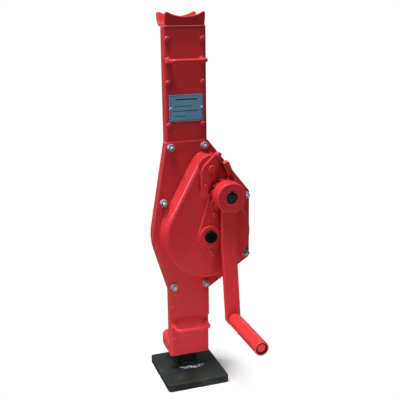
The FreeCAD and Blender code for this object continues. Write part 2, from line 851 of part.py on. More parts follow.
def make_lower_channel():
    """Front channel of the stock below the gearbox, set back under the proud sheet."""
    body = new_body("lower_channel")
    sketch = sketch_on(body, "XY_Plane", "column_bottom")
    channel_section(sketch, "lower_front_y", "box_back_y")
    pad(body, sketch, "lower_channel_top - column_bottom")
    holes(body, BOTTOM_BOLTS, "bolt_radius")
    holes(body, SMALL_RIVETS + SHEET_RIVET, "small_rivet_shank")
    holes(body, handle_feet("lower_handle_z"), "rod_radius")


def make_lower_front_sheet():
    """Sheet that runs out from under the gear cover and ends in an arched edge."""
    body = new_body("lower_front_sheet", y="lower_front_y")
    sketch = sketch_on(body, "XZ_Plane")
    outline(sketch, [
        ("-column_half", "lower_sheet_bottom"),
        ("0", "lower_sheet_bottom + arch_rise", "arch_radius"),
        ("column_half", "lower_sheet_bottom"),
        ("column_half", "lower_channel_top"),
        ("-column_half", "lower_channel_top"),
    ])
    pad(body, sketch, "lower_sheet")
    holes(body, BOTTOM_BOLTS, "bolt_radius")
    holes(body, SHEET_RIVET, "small_rivet_shank")


def make_rear_channel():
    """Channel that guides the rack, with a window for the pinion."""
    body = new_body("rear_channel", z="column_bottom")
    sketch = sketch_on(body, "XY_Plane")
    outline(sketch, [
        ("rear_left_x", "stock_back_y"),
        ("guide_left_x", "stock_back_y"),
        ("guide_left_x", "rear_web_y"),
        ("guide_right_x", "rear_web_y"),
        ("guide_right_x", "stock_back_y"),
        ("rear_right_x", "stock_back_y"),
        ("rear_right_x", "rear_outer_y", "bend_radius"),
        ("rear_left_x", "rear_outer_y", "bend_radius"),
    ])
    pad(body, sketch, "column_top - column_bottom")
    sketch = sketch_on(body, "XZ_Plane")
    axis = "gear_z - column_bottom"
    rectangle(sketch, "guide_right_x - window_reach", f"{axis} - window_half",
              "rear_right_x + slide_gap", f"{axis} + window_half")
    pocket(body, sketch)


def make_head_saddle():
    """Head with a front lip and a bowl-shaped rear lip, hollowed to leave rounded horns at its corners."""
    body = new_body("head_saddle", z="column_top")
    sketch = sketch_on(body, "YZ_Plane")
    outline(sketch, [
        ("front_y", "0"),
        ("rear_outer_y", "0"),
        ("rear_outer_y + rear_flare", "rear_flare", "bowl_radius"),
        ("rear_outer_y + rear_flare", "head_height"),
        ("rear_outer_y + rear_flare - lip_thickness", "head_height"),
        ("rear_outer_y - lip_thickness / 2", "head_floor", "lip_fillet"),
        ("front_y + lip_thickness - front_flare / 2", "head_floor", "lip_fillet"),
        ("front_y + lip_thickness - front_flare", "head_height"),
        ("front_y - front_flare", "head_height"),
    ])
    pad(body, sketch, "head_width", both=True)
    sketch = sketch_on(body, "XZ_Plane")
    circle(sketch, "0", "head_height - horn_height + horn_radius", "horn_radius")
    hollow = pocket(body, sketch)
    side = number("head_width / 2") - 0.01
    tips = round_edges(body, hollow, "horn_round", lambda edge: abs(edge.BoundBox.Center.x) > side
                       and edge.BoundBox.ZLength < 0.01 and edge.BoundBox.ZMin > number("head_floor"))
    body.Tip = tips
    brim = number("head_height - horn_height") - 0.01
    round_edges(body, tips, "lip_round", lambda edge: edge.BoundBox.ZMin > brim
                and edge.BoundBox.XLength > number("head_width / 2"))


def make_toe_claw():
    """Forged claw that grips the rear channel and reaches back just above the foot."""
    body = new_body("toe_claw", z="column_bottom")
    sketch = sketch_on(body, "XY_Plane")
    outline(sketch, [
        ("-claw_width / 2", "stock_back_y"),
        ("rear_left_x", "stock_back_y"),
        ("rear_left_x", "rear_outer_y", "bend_radius"),
        ("rear_right_x", "rear_outer_y", "bend_radius"),
        ("rear_right_x", "stock_back_y"),
        ("claw_width / 2", "stock_back_y"),
        ("claw_width / 2", "claw_reach", "claw_corner"),
        ("-claw_width / 2", "claw_reach", "claw_corner"),
    ])
    block = pad(body, sketch, "claw_height")
    top = lies_at("Z", number("claw_height"))
    back = number("rear_outer_y") + 1
    crown = round_edges(body, block, "claw_edge", lambda edge: top(edge) and edge.BoundBox.YMax > back)
    body.Tip = crown
    sketch = sketch_on(body, "YZ_Plane")
    outline(sketch, [
        ("rear_outer_y + claw_edge", "0"),
        ("claw_reach + claw_edge", "-claw_edge"),
        ("claw_reach + claw_edge", "claw_rise"),
    ])
    pocket(body, sketch)


def make_handle(label, y, z):
    """Bent rod whose two feet pass through the sheet."""
    body = new_body(label, y=y, z=z)
    path = sketch_on(body, "XY_Plane")
    reach = f"front_y - handle_standoff - {y}"
    outline(path, [
        ("-handle_half", "0"),
        ("-handle_half", reach, "handle_bend"),
        ("handle_half", reach, "handle_bend"),
        ("handle_half", "0"),
    ], closed=False)
    section = sketch_on(body, "XZ_Plane")
    circle(section, "-handle_half", "0", "rod_radius")
    rod = body.newObject("PartDesign::AdditivePipe", f"{label}_rod")
    rod.Profile = section
    rod.Spine = path


def make_nameplate():
    """Bare plate held by two pins."""
    body = new_body("nameplate", y="front_y")
    sketch = sketch_on(body, "XZ_Plane")
    rectangle(sketch, "-nameplate_width / 2", "nameplate_bottom", "nameplate_width / 2", "nameplate_top",
              "nameplate_corner")
    pad(body, sketch, "nameplate_thickness")
    holes(body, NAME_PINS, "pin_radius")


def make_rivets(label, y, places, shank, length, head, height):
    """Domed rivets with their heads towards the operator."""
    body = new_body(label, y=y)
    heads = discs(body, places, head, height)
    dome = round_edges(body, heads, f"{height} * dome_share", lies_at("Y", -number(height)))
    body.Tip = dome
    discs(body, places, shank, length, backward=True)


def make_bolt_spacers():
    """Distance tubes round the side bolts, between the cover and the back plate."""
    body = new_body("bolt_spacers", y="box_back_y")
    discs(body, SIDE_BOLTS, "bolt_radius + spacer_wall", "box_back_y - front_y", bore="bolt_radius")


def make_gearbox_walls():
    """Bent strips that close the two sides of the gearbox."""
    left, right = gearbox_sides(())
    inner_left = [
        ("-column_half", "cover_bottom + left_low_drop"),
        ("bulge_x + gearbox_wall", "bulge_z", "bulge_radius - gearbox_wall"),
        ("-column_half", "cover_top - left_top_drop"),
    ]
    inner_right = [
        ("column_half", "cover_top - right_top_drop"),
        ("cover_right - gearbox_wall", "inner_top_z", "cover_corner - gearbox_wall"),
        ("cover_right - gearbox_wall", "inner_low_z", "cover_corner - gearbox_wall"),
        ("column_half", "cover_bottom + right_low_drop"),
    ]
    walls = {"left_gearbox_wall": left + inner_left, "right_gearbox_wall": right + inner_right}
    for label, corners in walls.items():
        body = new_body(label, y="box_back_y")
        sketch = sketch_on(body, "XZ_Plane")
        outline(sketch, corners)
        pad(body, sketch, "box_back_y - front_y")


def make_gear_cover():
    """Pressed cover: a flat rim and a deep drawn pan over the gears."""
    body = new_body("gear_cover", y="front_y")
    left, right = gearbox_sides(("top_corner",))
    sketch = sketch_on(body, "XZ_Plane")
    outline(sketch, left + right)
    rim = pad(body, sketch, "cover_sheet")
    body.Tip = round_edges(body, rim, "rim_round", lies_at("Y", -number("cover_sheet")))
    sketch = sketch_on(body, "XZ_Plane")
    hull(sketch, (*GEAR_AXIS, "pan_radius"), ("lobe_x", "lobe_z", "lobe_radius"))
    pan = pad(body, sketch, "pan_height", draft="-pan_draft")
    face = lies_at("Y", -number("pan_height"))
    body.Tip = round_edges(body, pan, "pan_round", face)
    sketch = sketch_on(body, "XZ_Plane")
    hull(sketch, (*GEAR_AXIS, "pan_radius - pan_wall"), ("lobe_x", "lobe_z", "lobe_radius - pan_wall"))
    pocket(body, sketch, "pan_height - pan_wall", along=True, draft="-pan_draft")
    holes(body, BOLTS, "bolt_radius")
    holes(body, [GEAR_AXIS], "gear_bush_radius")
    holes(body, [CRANK_AXIS], "crank_bush_radius")
    holes(body, STRAP_RIVETS, "strap_rivet_shank")


def make_bearing_plate():
    """Thick plate on the pan that carries both shaft bushes, the pawl and its stop."""
    body = new_body("bearing_plate", y="pan_face_y")
    crank = (*CRANK_AXIS, "crank_plate_radius")
    boss = (*GEAR_AXIS, "boss_plate_radius")
    belts = (
        (boss, crank),
        (boss, ("tab_x", "tab_z", "tab_radius")),
        (crank, (*PAWL_AXIS, "pawl_plate_radius")),
        (crank, ("lug_plate_x", "lug_plate_z", "lug_plate_radius")),
    )
    for belt in belts:
        sketch = sketch_on(body, "XZ_Plane")
        hull(sketch, *belt)
        plate = pad(body, sketch, "bearing_plate_thickness")
    front = lies_at("Y", -number("bearing_plate_thickness"))
    body.Tip = round_edges(body, plate, "plate_chamfer", front, "Chamfer")
    holes(body, [GEAR_AXIS], "gear_bush_radius")
    holes(body, [CRANK_AXIS], "crank_bush_radius")
    holes(body, [PAWL_AXIS], "pawl_pin_radius")
    holes(body, STRAP_RIVETS, "strap_rivet_shank")


def make_cover_bolts():
    """Round-headed bolts put in from the back, with their threaded ends standing out of the nuts."""
    body = new_body("cover_bolts", y="stock_back_y")
    discs(body, BOLTS, "bolt_head_radius", "bolt_head_height", backward=True)
    length = "stock_back_y - cover_front_y + washer_thickness + nut_height + bolt_end"
    shanks = discs(body, BOLTS, "bolt_radius", length)
    round_edges(body, shanks, "nut_chamfer", lies_at("Y", -number(length)), "Chamfer")


def make_cover_washers():
    """Washers under the cover nuts."""
    body = new_body("cover_washers", y="cover_front_y")
    discs(body, BOLTS, "washer_radius", "washer_thickness", bore="bolt_radius")


def make_cover_nuts():
    """Hexagon nuts on the cover bolts."""
    body = new_body("cover_nuts", y="cover_front_y - washer_thickness")
    sketch = sketch_on(body, "XZ_Plane")
    reach = "nut_flats / sqrt(3)"
    for x, z in BOLTS:
        outline(sketch, [(f"{x} + {reach} * cos({turn})", f"{z} + {reach} * sin({turn})")
                         for turn in range(0, 360, 60)])
        circle(sketch, x, z, "bolt_radius")
    blanks = pad(body, sketch, "nut_height")
    front = lies_at("Y", -number("nut_height"))
    flat = "Part::GeomLine"
    corners = round_edges(body, blanks, "nut_chamfer",
                          lambda edge: front(edge) and edge.Curve.TypeId == flat, "Chamfer")
    body.Tip = corners


SCREW_ROWS = [f"gear_z {side} (housing_half - screw_inset)" for side in "+-"]
SCREWS_LONG = [("housing_right - screw_inset", z) for z in SCREW_ROWS]
SCREWS_SHORT = [("housing_left + 2 * screw_inset", z) for z in SCREW_ROWS]


def make_pinion_housing():
    """Housing behind the stock: a bearing wall over the rear channel and a rim round the rack pinion."""
    body = new_body("pinion_housing", y="rear_outer_y")
    low, high = "gear_z - housing_half", "gear_z + housing_half"
    depth = "rear_outer_y - stock_back_y"
    sketch = sketch_on(body, "XZ_Plane")
    rectangle(sketch, "housing_left", low, "housing_right", high, "housing_corner")
    pad(body, sketch, "housing_wall", backward=True)
    sketch = sketch_on(body, "XZ_Plane")
    rectangle(sketch, "rear_right_x", low, "housing_right", high)
    pad(body, sketch, depth)
    sketch = sketch_on(body, "XZ_Plane")
    rectangle(sketch, "rear_right_x", f"{low} + housing_rim",
              "housing_right - housing_rim", f"{high} - housing_rim")
    pocket(body, sketch, depth, along=True)
    holes(body, [GEAR_AXIS], "rear_bush_radius")
    holes(body, SCREWS_LONG + SCREWS_SHORT, "screw_radius")


def make_housing_screws():
    """Socket screws: two long ones down the rim and two short ones into the rear channel."""
    body = new_body("housing_screws", y="housing_back_y")
    discs(body, SCREWS_LONG + SCREWS_SHORT, "screw_head", "screw_head_height", backward=True)
    discs(body, SCREWS_LONG, "screw_radius", "housing_back_y - stock_back_y")
    discs(body, SCREWS_SHORT, "screw_radius", "housing_wall")
    sketch = sketch_on(body, "XZ_Plane", "-screw_head_height")
    for x, z in SCREWS_LONG + SCREWS_SHORT:
        outline(sketch, [(f"{x} + screw_radius * cos({turn})", f"{z} + screw_radius * sin({turn})")
                         for turn in range(0, 360, 60)])
    pocket(body, sketch, "screw_head_height / 2", along=True)


def make_bushes():
    """Flanged bushes of the two shafts."""
    body = new_body("front_gear_bush", *(GEAR_AXIS[0], "0", GEAR_AXIS[1]))
    stepped(body, ["bush_front_y", ("gear_bush_radius", "plate_face_y"), ("collar_radius", "collar_face_y")],
            "gear_journal + running_gap")
    collar_face = lies_at("Y", number("collar_face_y"))
    turned = body.Tip
    rim = number("collar_radius")
    round_edges(body, turned, "cap_edge", lambda edge: collar_face(edge) and edge.BoundBox.XMax > rim - 0.01)
    body = new_body("rear_gear_bush", *(GEAR_AXIS[0], "0", GEAR_AXIS[1]))
    stepped(body, ["rear_web_y + slide_gap", ("rear_bush_radius", "housing_back_y")],
            "rear_journal + running_gap")
    body = new_body("front_crank_bush", *(CRANK_AXIS[0], "0", CRANK_AXIS[1]))
    stepped(body, ["bush_front_y", ("crank_bush_radius", "plate_face_y")], "crank_journal + running_gap")
    body = new_body("rear_crank_bush", *(CRANK_AXIS[0], "0", CRANK_AXIS[1]))
    stepped(body, ["box_back_y - bush_flange", ("crank_rear_bush_radius + bush_wall", "box_back_y"),
                   ("crank_rear_bush_radius", "stock_back_y")], "crank_rear_journal + running_gap")


def make_pawl_pin():
    """Pin that the pawl swings on, riveted into the bearing plate."""
    body = new_body("pawl_pin", "pawl_x", "0", "pawl_z")
    head = "ratchet_front_y - end_gap"
    face = f"{head} - pawl_pin_head_height"
    stepped(body, ["pan_face_y", ("pawl_pin_radius", head), ("pawl_pin_head", face)])
    round_edges(body, body.Tip, "pawl_pin_head_height / 2", lies_at("Y", number(face)))


def make_stop_lug():
    """Block on the bearing plate that stops the pawl's release and carries its spring."""
    body = new_body("stop_lug", "lug_x", "plate_face_y", "lug_z")
    body.Placement.Rotation = Rotation(Vector(0, 1, 0), 1)
    bind(body, "Placement.Rotation.Angle", "lug_angle")
    sketch = sketch_on(body, "XZ_Plane")
    rectangle(sketch, "-lug_length / 2", "-lug_width / 2", "lug_length / 2", "lug_width / 2", "lug_round")
    block = pad(body, sketch, "lug_height")
    round_edges(body, block, "lug_chamfer", lies_at("Y", -number("lug_height")))


def make_pawl_spring():
    """Leaf spring fixed along the stop's left face, its free end leaning towards the top of the pawl."""
    body = new_body("pawl_spring", "lug_x", "plate_face_y - (lug_height - spring_width) / 2", "lug_z")
    body.Placement.Rotation = Rotation(Vector(0, 1, 0), 1)
    bind(body, "Placement.Rotation.Angle", "lug_angle")
    sketch = sketch_on(body, "XZ_Plane")
    inner, outer = "-lug_width / 2", "-spring_root"
    foot, end = "-spring_foot / 2", "-spring_foot / 2 - spring_leaf"
    outline(sketch, [
        ("spring_foot / 2", inner),
        (foot, inner),
        (end, f"{inner} - spring_lean"),
        (end, f"{outer} - spring_lean"),
        (foot, outer),
        ("spring_foot / 2", outer),
    ])
    pad(body, sketch, "spring_width")


# Gear shaft

def make_gear_shaft():
    """Shaft with the rack pinion cut on it."""
    body = new_body("gear_shaft", "gear_x", "0", "gear_z")
    stepped(body, [
        "gear_shaft_front_y", ("gear_journal", "gear_seat_y"), ("gear_bore", "rack_pinion_front_y"),
        ("rack_pinion_tip", "rack_pinion_back_y"), ("rear_journal", "housing_back_y"),
    ])
    sketch = sketch_on(body, "XZ_Plane")
    teeth = number("rack_pinion_teeth")
    tooth_gap(sketch, number("rack_module"), teeth, math.radians(number("rack_pressure")),
              number("rack_shift"), number("rack_pinion_tip"), number("rack_pinion_root"),
              number("rack_backlash"), 180 + 180 / teeth)
    ring_pattern(body, pocket(body, sketch), "rack_pinion_teeth")


def make_drive_gear():
    """Large spur gear pressed on the gear shaft, with lightening holes."""
    body = new_body("drive_gear", "gear_x", "gear_back_y", "gear_z")
    sketch = sketch_on(body, "XZ_Plane")
    circle(sketch, "0", "0", "gear_tip")
    circle(sketch, "0", "0", "gear_bore")
    pad(body, sketch, "gear_width")
    window = holes(body, [("0", "lightening_circle")], "lightening_radius")
    ring_pattern(body, window, "lightening_count")
    sketch = sketch_on(body, "XZ_Plane")
    tooth_gap(sketch, number("gear_module"), number("gear_teeth"), math.radians(number("gear_pressure")),
              -number("gear_shift"), number("gear_tip"), number("gear_root_radius"), number("gear_backlash"),
              number("mesh_angle"))
    ring_pattern(body, pocket(body, sketch), "gear_teeth")


def make_shaft_cap():
    """Dark cap screw on the end of the gear shaft."""
    body = new_body("shaft_cap", "gear_x", "gear_shaft_front_y", "gear_z")
    sketch = sketch_on(body, "XZ_Plane")
    circle(sketch, "0", "0", "cap_radius")
    disc = pad(body, sketch, "cap_height")
    front = lies_at("Y", -number("cap_height"))
    body.Tip = round_edges(body, disc, "cap_edge", front)
    sketch = sketch_on(body, "XZ_Plane", "cap_height")
    turns = range(0, 360, 60)
    outline(sketch, [(f"cap_socket * cos({turn})", f"cap_socket * sin({turn})") for turn in turns])
    pocket(body, sketch, "cap_socket_depth")


# Crank

def make_crank_shaft():
    """Shaft with the crank pinion cut on it and a keyway at its front end."""
    body = new_body("crank_shaft", "crank_x", "0", "crank_z")
    stepped(body, [
        "shaft_front_y", ("hub_shaft", "ratchet_front_y"), ("crank_journal", "bush_front_y + end_gap"),
        ("crank_shoulder", "gear_front_y - pinion_overhang"),
        ("crank_pinion_tip", "gear_back_y + pinion_overhang"),
        ("crank_shoulder", "box_back_y - bush_flange - end_gap"),
        ("crank_rear_journal", "stock_back_y - end_gap"),
    ])
    sketch = sketch_on(body, "XZ_Plane")
    teeth = number("crank_pinion_teeth")
    tooth_gap(sketch, number("gear_module"), teeth, math.radians(number("gear_pressure")),
              number("gear_shift"), number("crank_pinion_tip"), number("crank_pinion_root"),
              number("gear_backlash"), number("mesh_angle") + 180 + 180 / teeth)
    ring_pattern(body, pocket(body, sketch), "crank_pinion_teeth")
    sketch = sketch_on(body, "XZ_Plane", "-shaft_front_y")
    key_section(sketch)
    pocket(body, sketch, "key_length")


def key_section(sketch):
    """Draw the section of the hub's key, half in the shaft and half in the hub."""
    rectangle(sketch, "-key_width / 2", "hub_shaft - key_height / 2",
              "key_width / 2", "hub_shaft + key_height / 2")


def make_crank_key():
    """Key between the crank shaft and the hub."""
    body = new_body("crank_key", "crank_x", "shaft_front_y + ring_thickness + hub_recess_depth", "crank_z")
    sketch = sketch_on(body, "XZ_Plane")
    key_section(sketch)
    pad(body, sketch, "key_length - ring_thickness - hub_recess_depth", backward=True)


def make_ratchet_wheel():
    """Saw-toothed wheel behind the hub; its steep faces stop the crank from running back."""
    body = new_body("ratchet_wheel", "crank_x", "ratchet_back_y", "crank_z")
    sketch = sketch_on(body, "XZ_Plane")
    circle(sketch, "0", "0", "ratchet_tip")
    circle(sketch, "0", "0", "crank_journal")
    pad(body, sketch, "ratchet_thickness")
    sketch = sketch_on(body, "XZ_Plane")
    end = "ratchet_phase + ratchet_step"
    mouth = "(ratchet_tip + ratchet_over)"
    outline(sketch, [
        ("ratchet_root * cos(ratchet_phase)", "ratchet_root * sin(ratchet_phase)"),
        (f"{mouth} * cos(ratchet_phase)", f"{mouth} * sin(ratchet_phase)"),
        (f"{mouth} * cos({end})", f"{mouth} * sin({end})"),
        (f"ratchet_tip * cos({end})", f"ratchet_tip * sin({end})"),
    ])
    ring_pattern(body, pocket(body, sketch), "ratchet_teeth")


def make_crank_hub():
    """Drum that the arm is welded to, keyed on the shaft."""
    body = new_body("crank_hub", "crank_x", "0", "crank_z")
    revolve(body, [
        ("hub_shaft", "ratchet_front_y"),
        ("hub_radius", "ratchet_front_y"),
        ("hub_radius", "hub_front_y + hub_chamfer"),
        ("hub_radius - hub_chamfer", "hub_front_y"),
        ("hub_recess", "hub_front_y"),
        ("hub_recess", "hub_front_y + hub_recess_depth"),
        ("hub_shaft", "hub_front_y + hub_recess_depth"),
    ])
    sketch = sketch_on(body, "XZ_Plane", "-hub_front_y")
    key_section(sketch)
    pocket(body, sketch, "key_length + shaft_recess")


def make_hub_ring():
    """Retaining ring round the shaft's end in the hub's recess."""
    body = new_body("hub_ring", "crank_x", "hub_front_y + hub_recess_depth", "crank_z")
    sketch = sketch_on(body, "XZ_Plane")
    circle(sketch, "0", "0", "hub_recess")
    circle(sketch, "0", "0", "hub_shaft")
    pad(body, sketch, "ring_thickness")


def make_crank_arm():
    """Flat bar welded under the hub, bent outwards below the gear pan."""
    body = new_body("crank_arm", "crank_x", "0", "crank_z")
    sketch = sketch_on(body, "YZ_Plane")
    bottom = "-crank_radius - arm_end"
    outline(sketch, [
        ("arm_front_y", "-arm_overlap"),
        ("arm_front_y", "-arm_bend_drop", "arm_bend_radius"),
        ("arm_front_y - arm_lean", bottom),
        ("arm_back_y - arm_lean", bottom),
        ("arm_back_y", "-arm_bend_drop", "arm_bend_radius + arm_thickness"),
        ("arm_back_y", "-arm_overlap"),
    ])
    bar = pad(body, sketch, "arm_width", both=True)
    low = lies_at("Z", number(bottom))
    ends = round_edges(body, bar, "arm_end", lambda edge: low(edge) and edge.BoundBox.XLength < 1)
    sides = [lies_at("X", side * number("arm_width / 2")) for side in (-1, 1)]
    start = number("-arm_overlap") - 0.01
    body.Tip = round_edges(body, ends, "arm_edge", lambda edge: any(side(edge) for side in sides)
                           and edge.BoundBox.ZMin < start)
    sketch = sketch_on(body, "XZ_Plane")
    circle(sketch, "0", "0", "hub_radius")
    pocket(body, sketch)
    sketch = sketch_on(body, "XZ_Plane")
    circle(sketch, "0", "-crank_radius", "spindle_radius")
    pocket(body, sketch)


def make_grip():
    """Spindle riveted into the arm, and the sleeve that turns on it."""
    axis = ("crank_x", "0", "crank_z - crank_radius")
    head_back = "grip_floor_y - end_gap"
    body = new_body("grip_spindle", *axis)
    stepped(body, ["spindle_back_y", ("spindle_radius", head_back),
                   ("spindle_head", f"{head_back} - spindle_head_length")])
    body = new_body("grip_sleeve", *axis)
    bore = "spindle_radius + running_gap"
    revolve(body, [
        (bore, "grip_back_y"),
        ("grip_radius - grip_chamfer", "grip_back_y"),
        ("grip_radius", "grip_back_y - grip_chamfer"),
        ("grip_radius", "grip_front_y + grip_chamfer"),
        ("grip_radius - grip_chamfer", "grip_front_y"),
        ("grip_recess", "grip_front_y"),
        ("grip_recess", "grip_floor_y"),
        (bore, "grip_floor_y"),
    ])


# Pawl

def make_pawl():
    """Crescent pawl: it hooks the ratchet wheel from the left, below its pin."""
    body = new_body("pawl", "pawl_x", "ratchet_back_y", "pawl_z")
    sketch = sketch_on(body, "XZ_Plane")
    outline(sketch, [
        ("pawl_crown_x", "pawl_crown_z", "pawl_round"),
        ("-pawl_back_x", "pawl_back_z", "pawl_back_round"),
        ("-pawl_back_x", "-pawl_tail_z", "pawl_round"),
        ("-pawl_heel_x", "-pawl_heel_z", "pawl_heel_round"),
        ("-pawl_nose_x", "-pawl_nose_z"),
        ("-pawl_throat_x", "-pawl_throat_z"),
        ("-pawl_waist_x", "-pawl_waist_z", "pawl_round"),
        ("pawl_shoulder_x", "-pawl_shoulder_z", "pawl_round"),
        ("pawl_neck_x", "pawl_neck_z", "pawl_round"),
        ("pawl_horn_x", "pawl_horn_z", "pawl_heel_round"),
    ])
    blank = pad(body, sketch, "ratchet_thickness")
    front = lies_at("Y", -number("ratchet_thickness"))
    body.Tip = round_edges(body, blank, "pawl_chamfer", front, "Chamfer")
    sketch = sketch_on(body, "XZ_Plane", "ratchet_thickness")
    left, low = "-pawl_back_x + pawl_tab_inset", "-pawl_tail_z + pawl_tab_lift"
    rectangle(sketch, left, low, f"{left} + pawl_tab_width", f"{low} + pawl_tab_height", "pawl_tab_round")
    pad(body, sketch, "pawl_tab_step")
    holes(body, [("0", "0")], "pawl_pin_radius + running_gap")
    holes(body, [("knob_x", "knob_z")], "knob_stem")


def make_pawl_knob():
    """Thumb knob riveted into the top of the pawl."""
    body = new_body("pawl_knob", "pawl_x + knob_x", "ratchet_front_y", "pawl_z + knob_z")
    head = discs(body, [("0", "0")], "knob_radius", "knob_height")
    front = lies_at("Y", -number("knob_height"))
    body.Tip = round_edges(body, head, "knob_height * dome_share", front)
    discs(body, [("0", "0")], "knob_stem", "ratchet_thickness", backward=True)


def build():
    """Make every sub-part."""
    make_base_plate()
    make_rack()
    make_foot_weld()
    make_back_plate()
    make_upper_channel()
    make_lower_channel()
    make_lower_front_sheet()
    make_rear_channel()
    make_head_saddle()
    make_toe_claw()
    make_handle("upper_handle", "web_back_y", "upper_handle_z")
    make_handle("lower_handle", "lower_back_y", "lower_handle_z")
    make_nameplate()
    make_rivets("nameplate_pins", "front_y - nameplate_thickness", NAME_PINS, "pin_radius",
                "nameplate_thickness + column_sheet", "pin_head", "pin_head_height")
    make_rivets("column_rivets", "front_y", RIVETS, "rivet_shank", "column_depth",
                "rivet_head", "rivet_head_height")
    make_rivets("lower_rivets", "lower_front_y", SMALL_RIVETS, "small_rivet_shank", "column_sheet",
                "small_rivet_head", "small_rivet_height")
    make_rivets("sheet_rivet", "front_y", SHEET_RIVET, "small_rivet_shank", "lower_sheet + column_sheet",
                "small_rivet_head", "small_rivet_height")
    make_gearbox_walls()
    make_gear_cover()
    make_bearing_plate()
    make_rivets("bearing_plate_rivets", "plate_face_y", STRAP_RIVETS, "strap_rivet_shank",
                "bearing_plate_thickness + pan_wall", "strap_rivet_head", "strap_rivet_height")
    make_cover_bolts()
    make_cover_washers()
    make_cover_nuts()
    make_bolt_spacers()
    make_pinion_housing()
    make_housing_screws()
    make_bushes()
    make_pawl_pin()
    make_stop_lug()
    make_pawl_spring()
    make_gear_shaft()
    make_drive_gear()
    make_shaft_cap()
    make_crank_shaft()
    make_ratchet_wheel()
    make_crank_hub()
    make_crank_key()
    make_hub_ring()
    make_crank_arm()
    make_grip()
    make_pawl()
    make_pawl_knob()


def check_and_export():
    """Check every object and sub-part, then write one file for each sub-part."""
    doc.recompute()
    faults = [item.Label for item in doc.Objects if {"Invalid", "Error"} & set(item.State)]
    bodies = [item for item in doc.Objects if item.TypeId == "PartDesign::Body"]
    for body in bodies:
        if body.Shape.isNull() or not body.Shape.isValid() or not body.Shape.Solids:
            faults.append(body.Label)
    if faults:
        raise RuntimeError(f"failed objects: {sorted(set(faults))}")
    os.makedirs("parts", exist_ok=True)
    for body in bodies:
        body.Shape.exportStep(f"parts/{body.Label}.step")
        print(body.Label, len(body.Shape.Solids), round(body.Shape.Volume))


build()
check_and_export()
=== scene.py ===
"""Looks of a rack and pinion jack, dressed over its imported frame.

The foot plate and rack stay on the ground, the stock climbs them, and the crank, gears, grip and pawl move
on the stock. Everything is in metres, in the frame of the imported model: X to the right, Y away from the
operator, Z up.
"""

import logging
import math
from dataclasses import dataclass, field
from enum import Enum
from typing import Any, Iterable, Optional, Sequence, Union

import bmesh
import bpy
from mathutils import Matrix, Vector

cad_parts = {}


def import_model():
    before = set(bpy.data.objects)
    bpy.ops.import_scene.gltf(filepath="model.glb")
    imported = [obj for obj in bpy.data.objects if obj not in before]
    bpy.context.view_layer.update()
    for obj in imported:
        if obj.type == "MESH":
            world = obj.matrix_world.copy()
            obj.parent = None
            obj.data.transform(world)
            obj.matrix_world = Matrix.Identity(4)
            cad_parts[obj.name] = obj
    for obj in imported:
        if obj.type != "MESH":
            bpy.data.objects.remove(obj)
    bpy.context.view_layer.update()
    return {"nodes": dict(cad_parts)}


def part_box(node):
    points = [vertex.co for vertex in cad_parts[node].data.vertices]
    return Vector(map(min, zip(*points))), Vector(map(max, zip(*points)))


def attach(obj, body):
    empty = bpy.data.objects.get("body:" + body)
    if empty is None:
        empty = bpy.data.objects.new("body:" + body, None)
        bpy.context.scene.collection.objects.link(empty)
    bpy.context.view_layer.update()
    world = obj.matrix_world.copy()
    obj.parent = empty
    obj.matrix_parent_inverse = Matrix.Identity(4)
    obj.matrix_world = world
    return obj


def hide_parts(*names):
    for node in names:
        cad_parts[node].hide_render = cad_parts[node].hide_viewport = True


LOG = logging.getLogger("jack")
MM = 0.001

Socket = bpy.types.NodeSocket
Source = Union[Socket, float, Sequence[float]]
Triple = tuple[float, float, float]
Colour = tuple[float, float, float]
Span = tuple[float, float]


class Body(str, Enum):
    """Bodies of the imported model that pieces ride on."""

    FOOT = "foot"
    STOCK = "stock"
    CRANK = "crank"
    GRIP = "grip"


class Slot(str, Enum):
    """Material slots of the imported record."""

    RED_PAINT = "red_paint"
    DARK_STEEL = "dark_steel"
    WELD_METAL = "weld_metal"
    BARE_ALUMINIUM = "bare_aluminium"
    ZINC_STEEL = "zinc_steel"
    MACHINED_STEEL = "machined_steel"
    BLACK_STEEL = "black_steel"
    BRONZE = "bronze"


class Look(str, Enum):
    """Finishes that pieces wear, by the names of their materials."""

    RED_PAINT = "red_gloss_enamel"
    RUBBED_PAINT = "rubbed_red_enamel"
    GREASE_AND_SHADE_PAINT = "grease_and_painted_shade_enamel"
    PLATE_STEEL = "scaled_plate_steel"
    RACK_STEEL = "greased_rack_steel"
    BRIGHT_WELD = "bright_weld_metal"
    DULL_WELD = "sooty_weld_metal"
    NAMEPLATE = "brushed_plate_metal"
    PLATE_INK = "plate_ink"
    BRIGHT_ZINC = "bright_zinc_steel"
    DULL_ZINC = "dull_zinc_steel"
    DARK_ZINC = "dark_thread_zinc_steel"
    MACHINED_STEEL = "oiled_machined_steel"
    SHAFT_END = "dark_shaft_steel"
    BLACK_STEEL = "blackened_steel"
    BRONZE = "bush_bronze"


class Effect(str, Enum):
    """Shared surface effects, each a shader node group."""

    EDGE_WEAR_AND_HIGHLIGHT = "edge_wear_and_highlight"
    ORANGE_PEEL = "orange_peel"
    MOTTLE = "mottle"


@dataclass(frozen=True)
class Grain:
    """How coarse a noise is.

    Attributes:
        scale: Cells per metre.
        detail: Number of finer layers.
        rough: Weight of the finer layers.
    """

    scale: Source
    detail: float
    rough: float


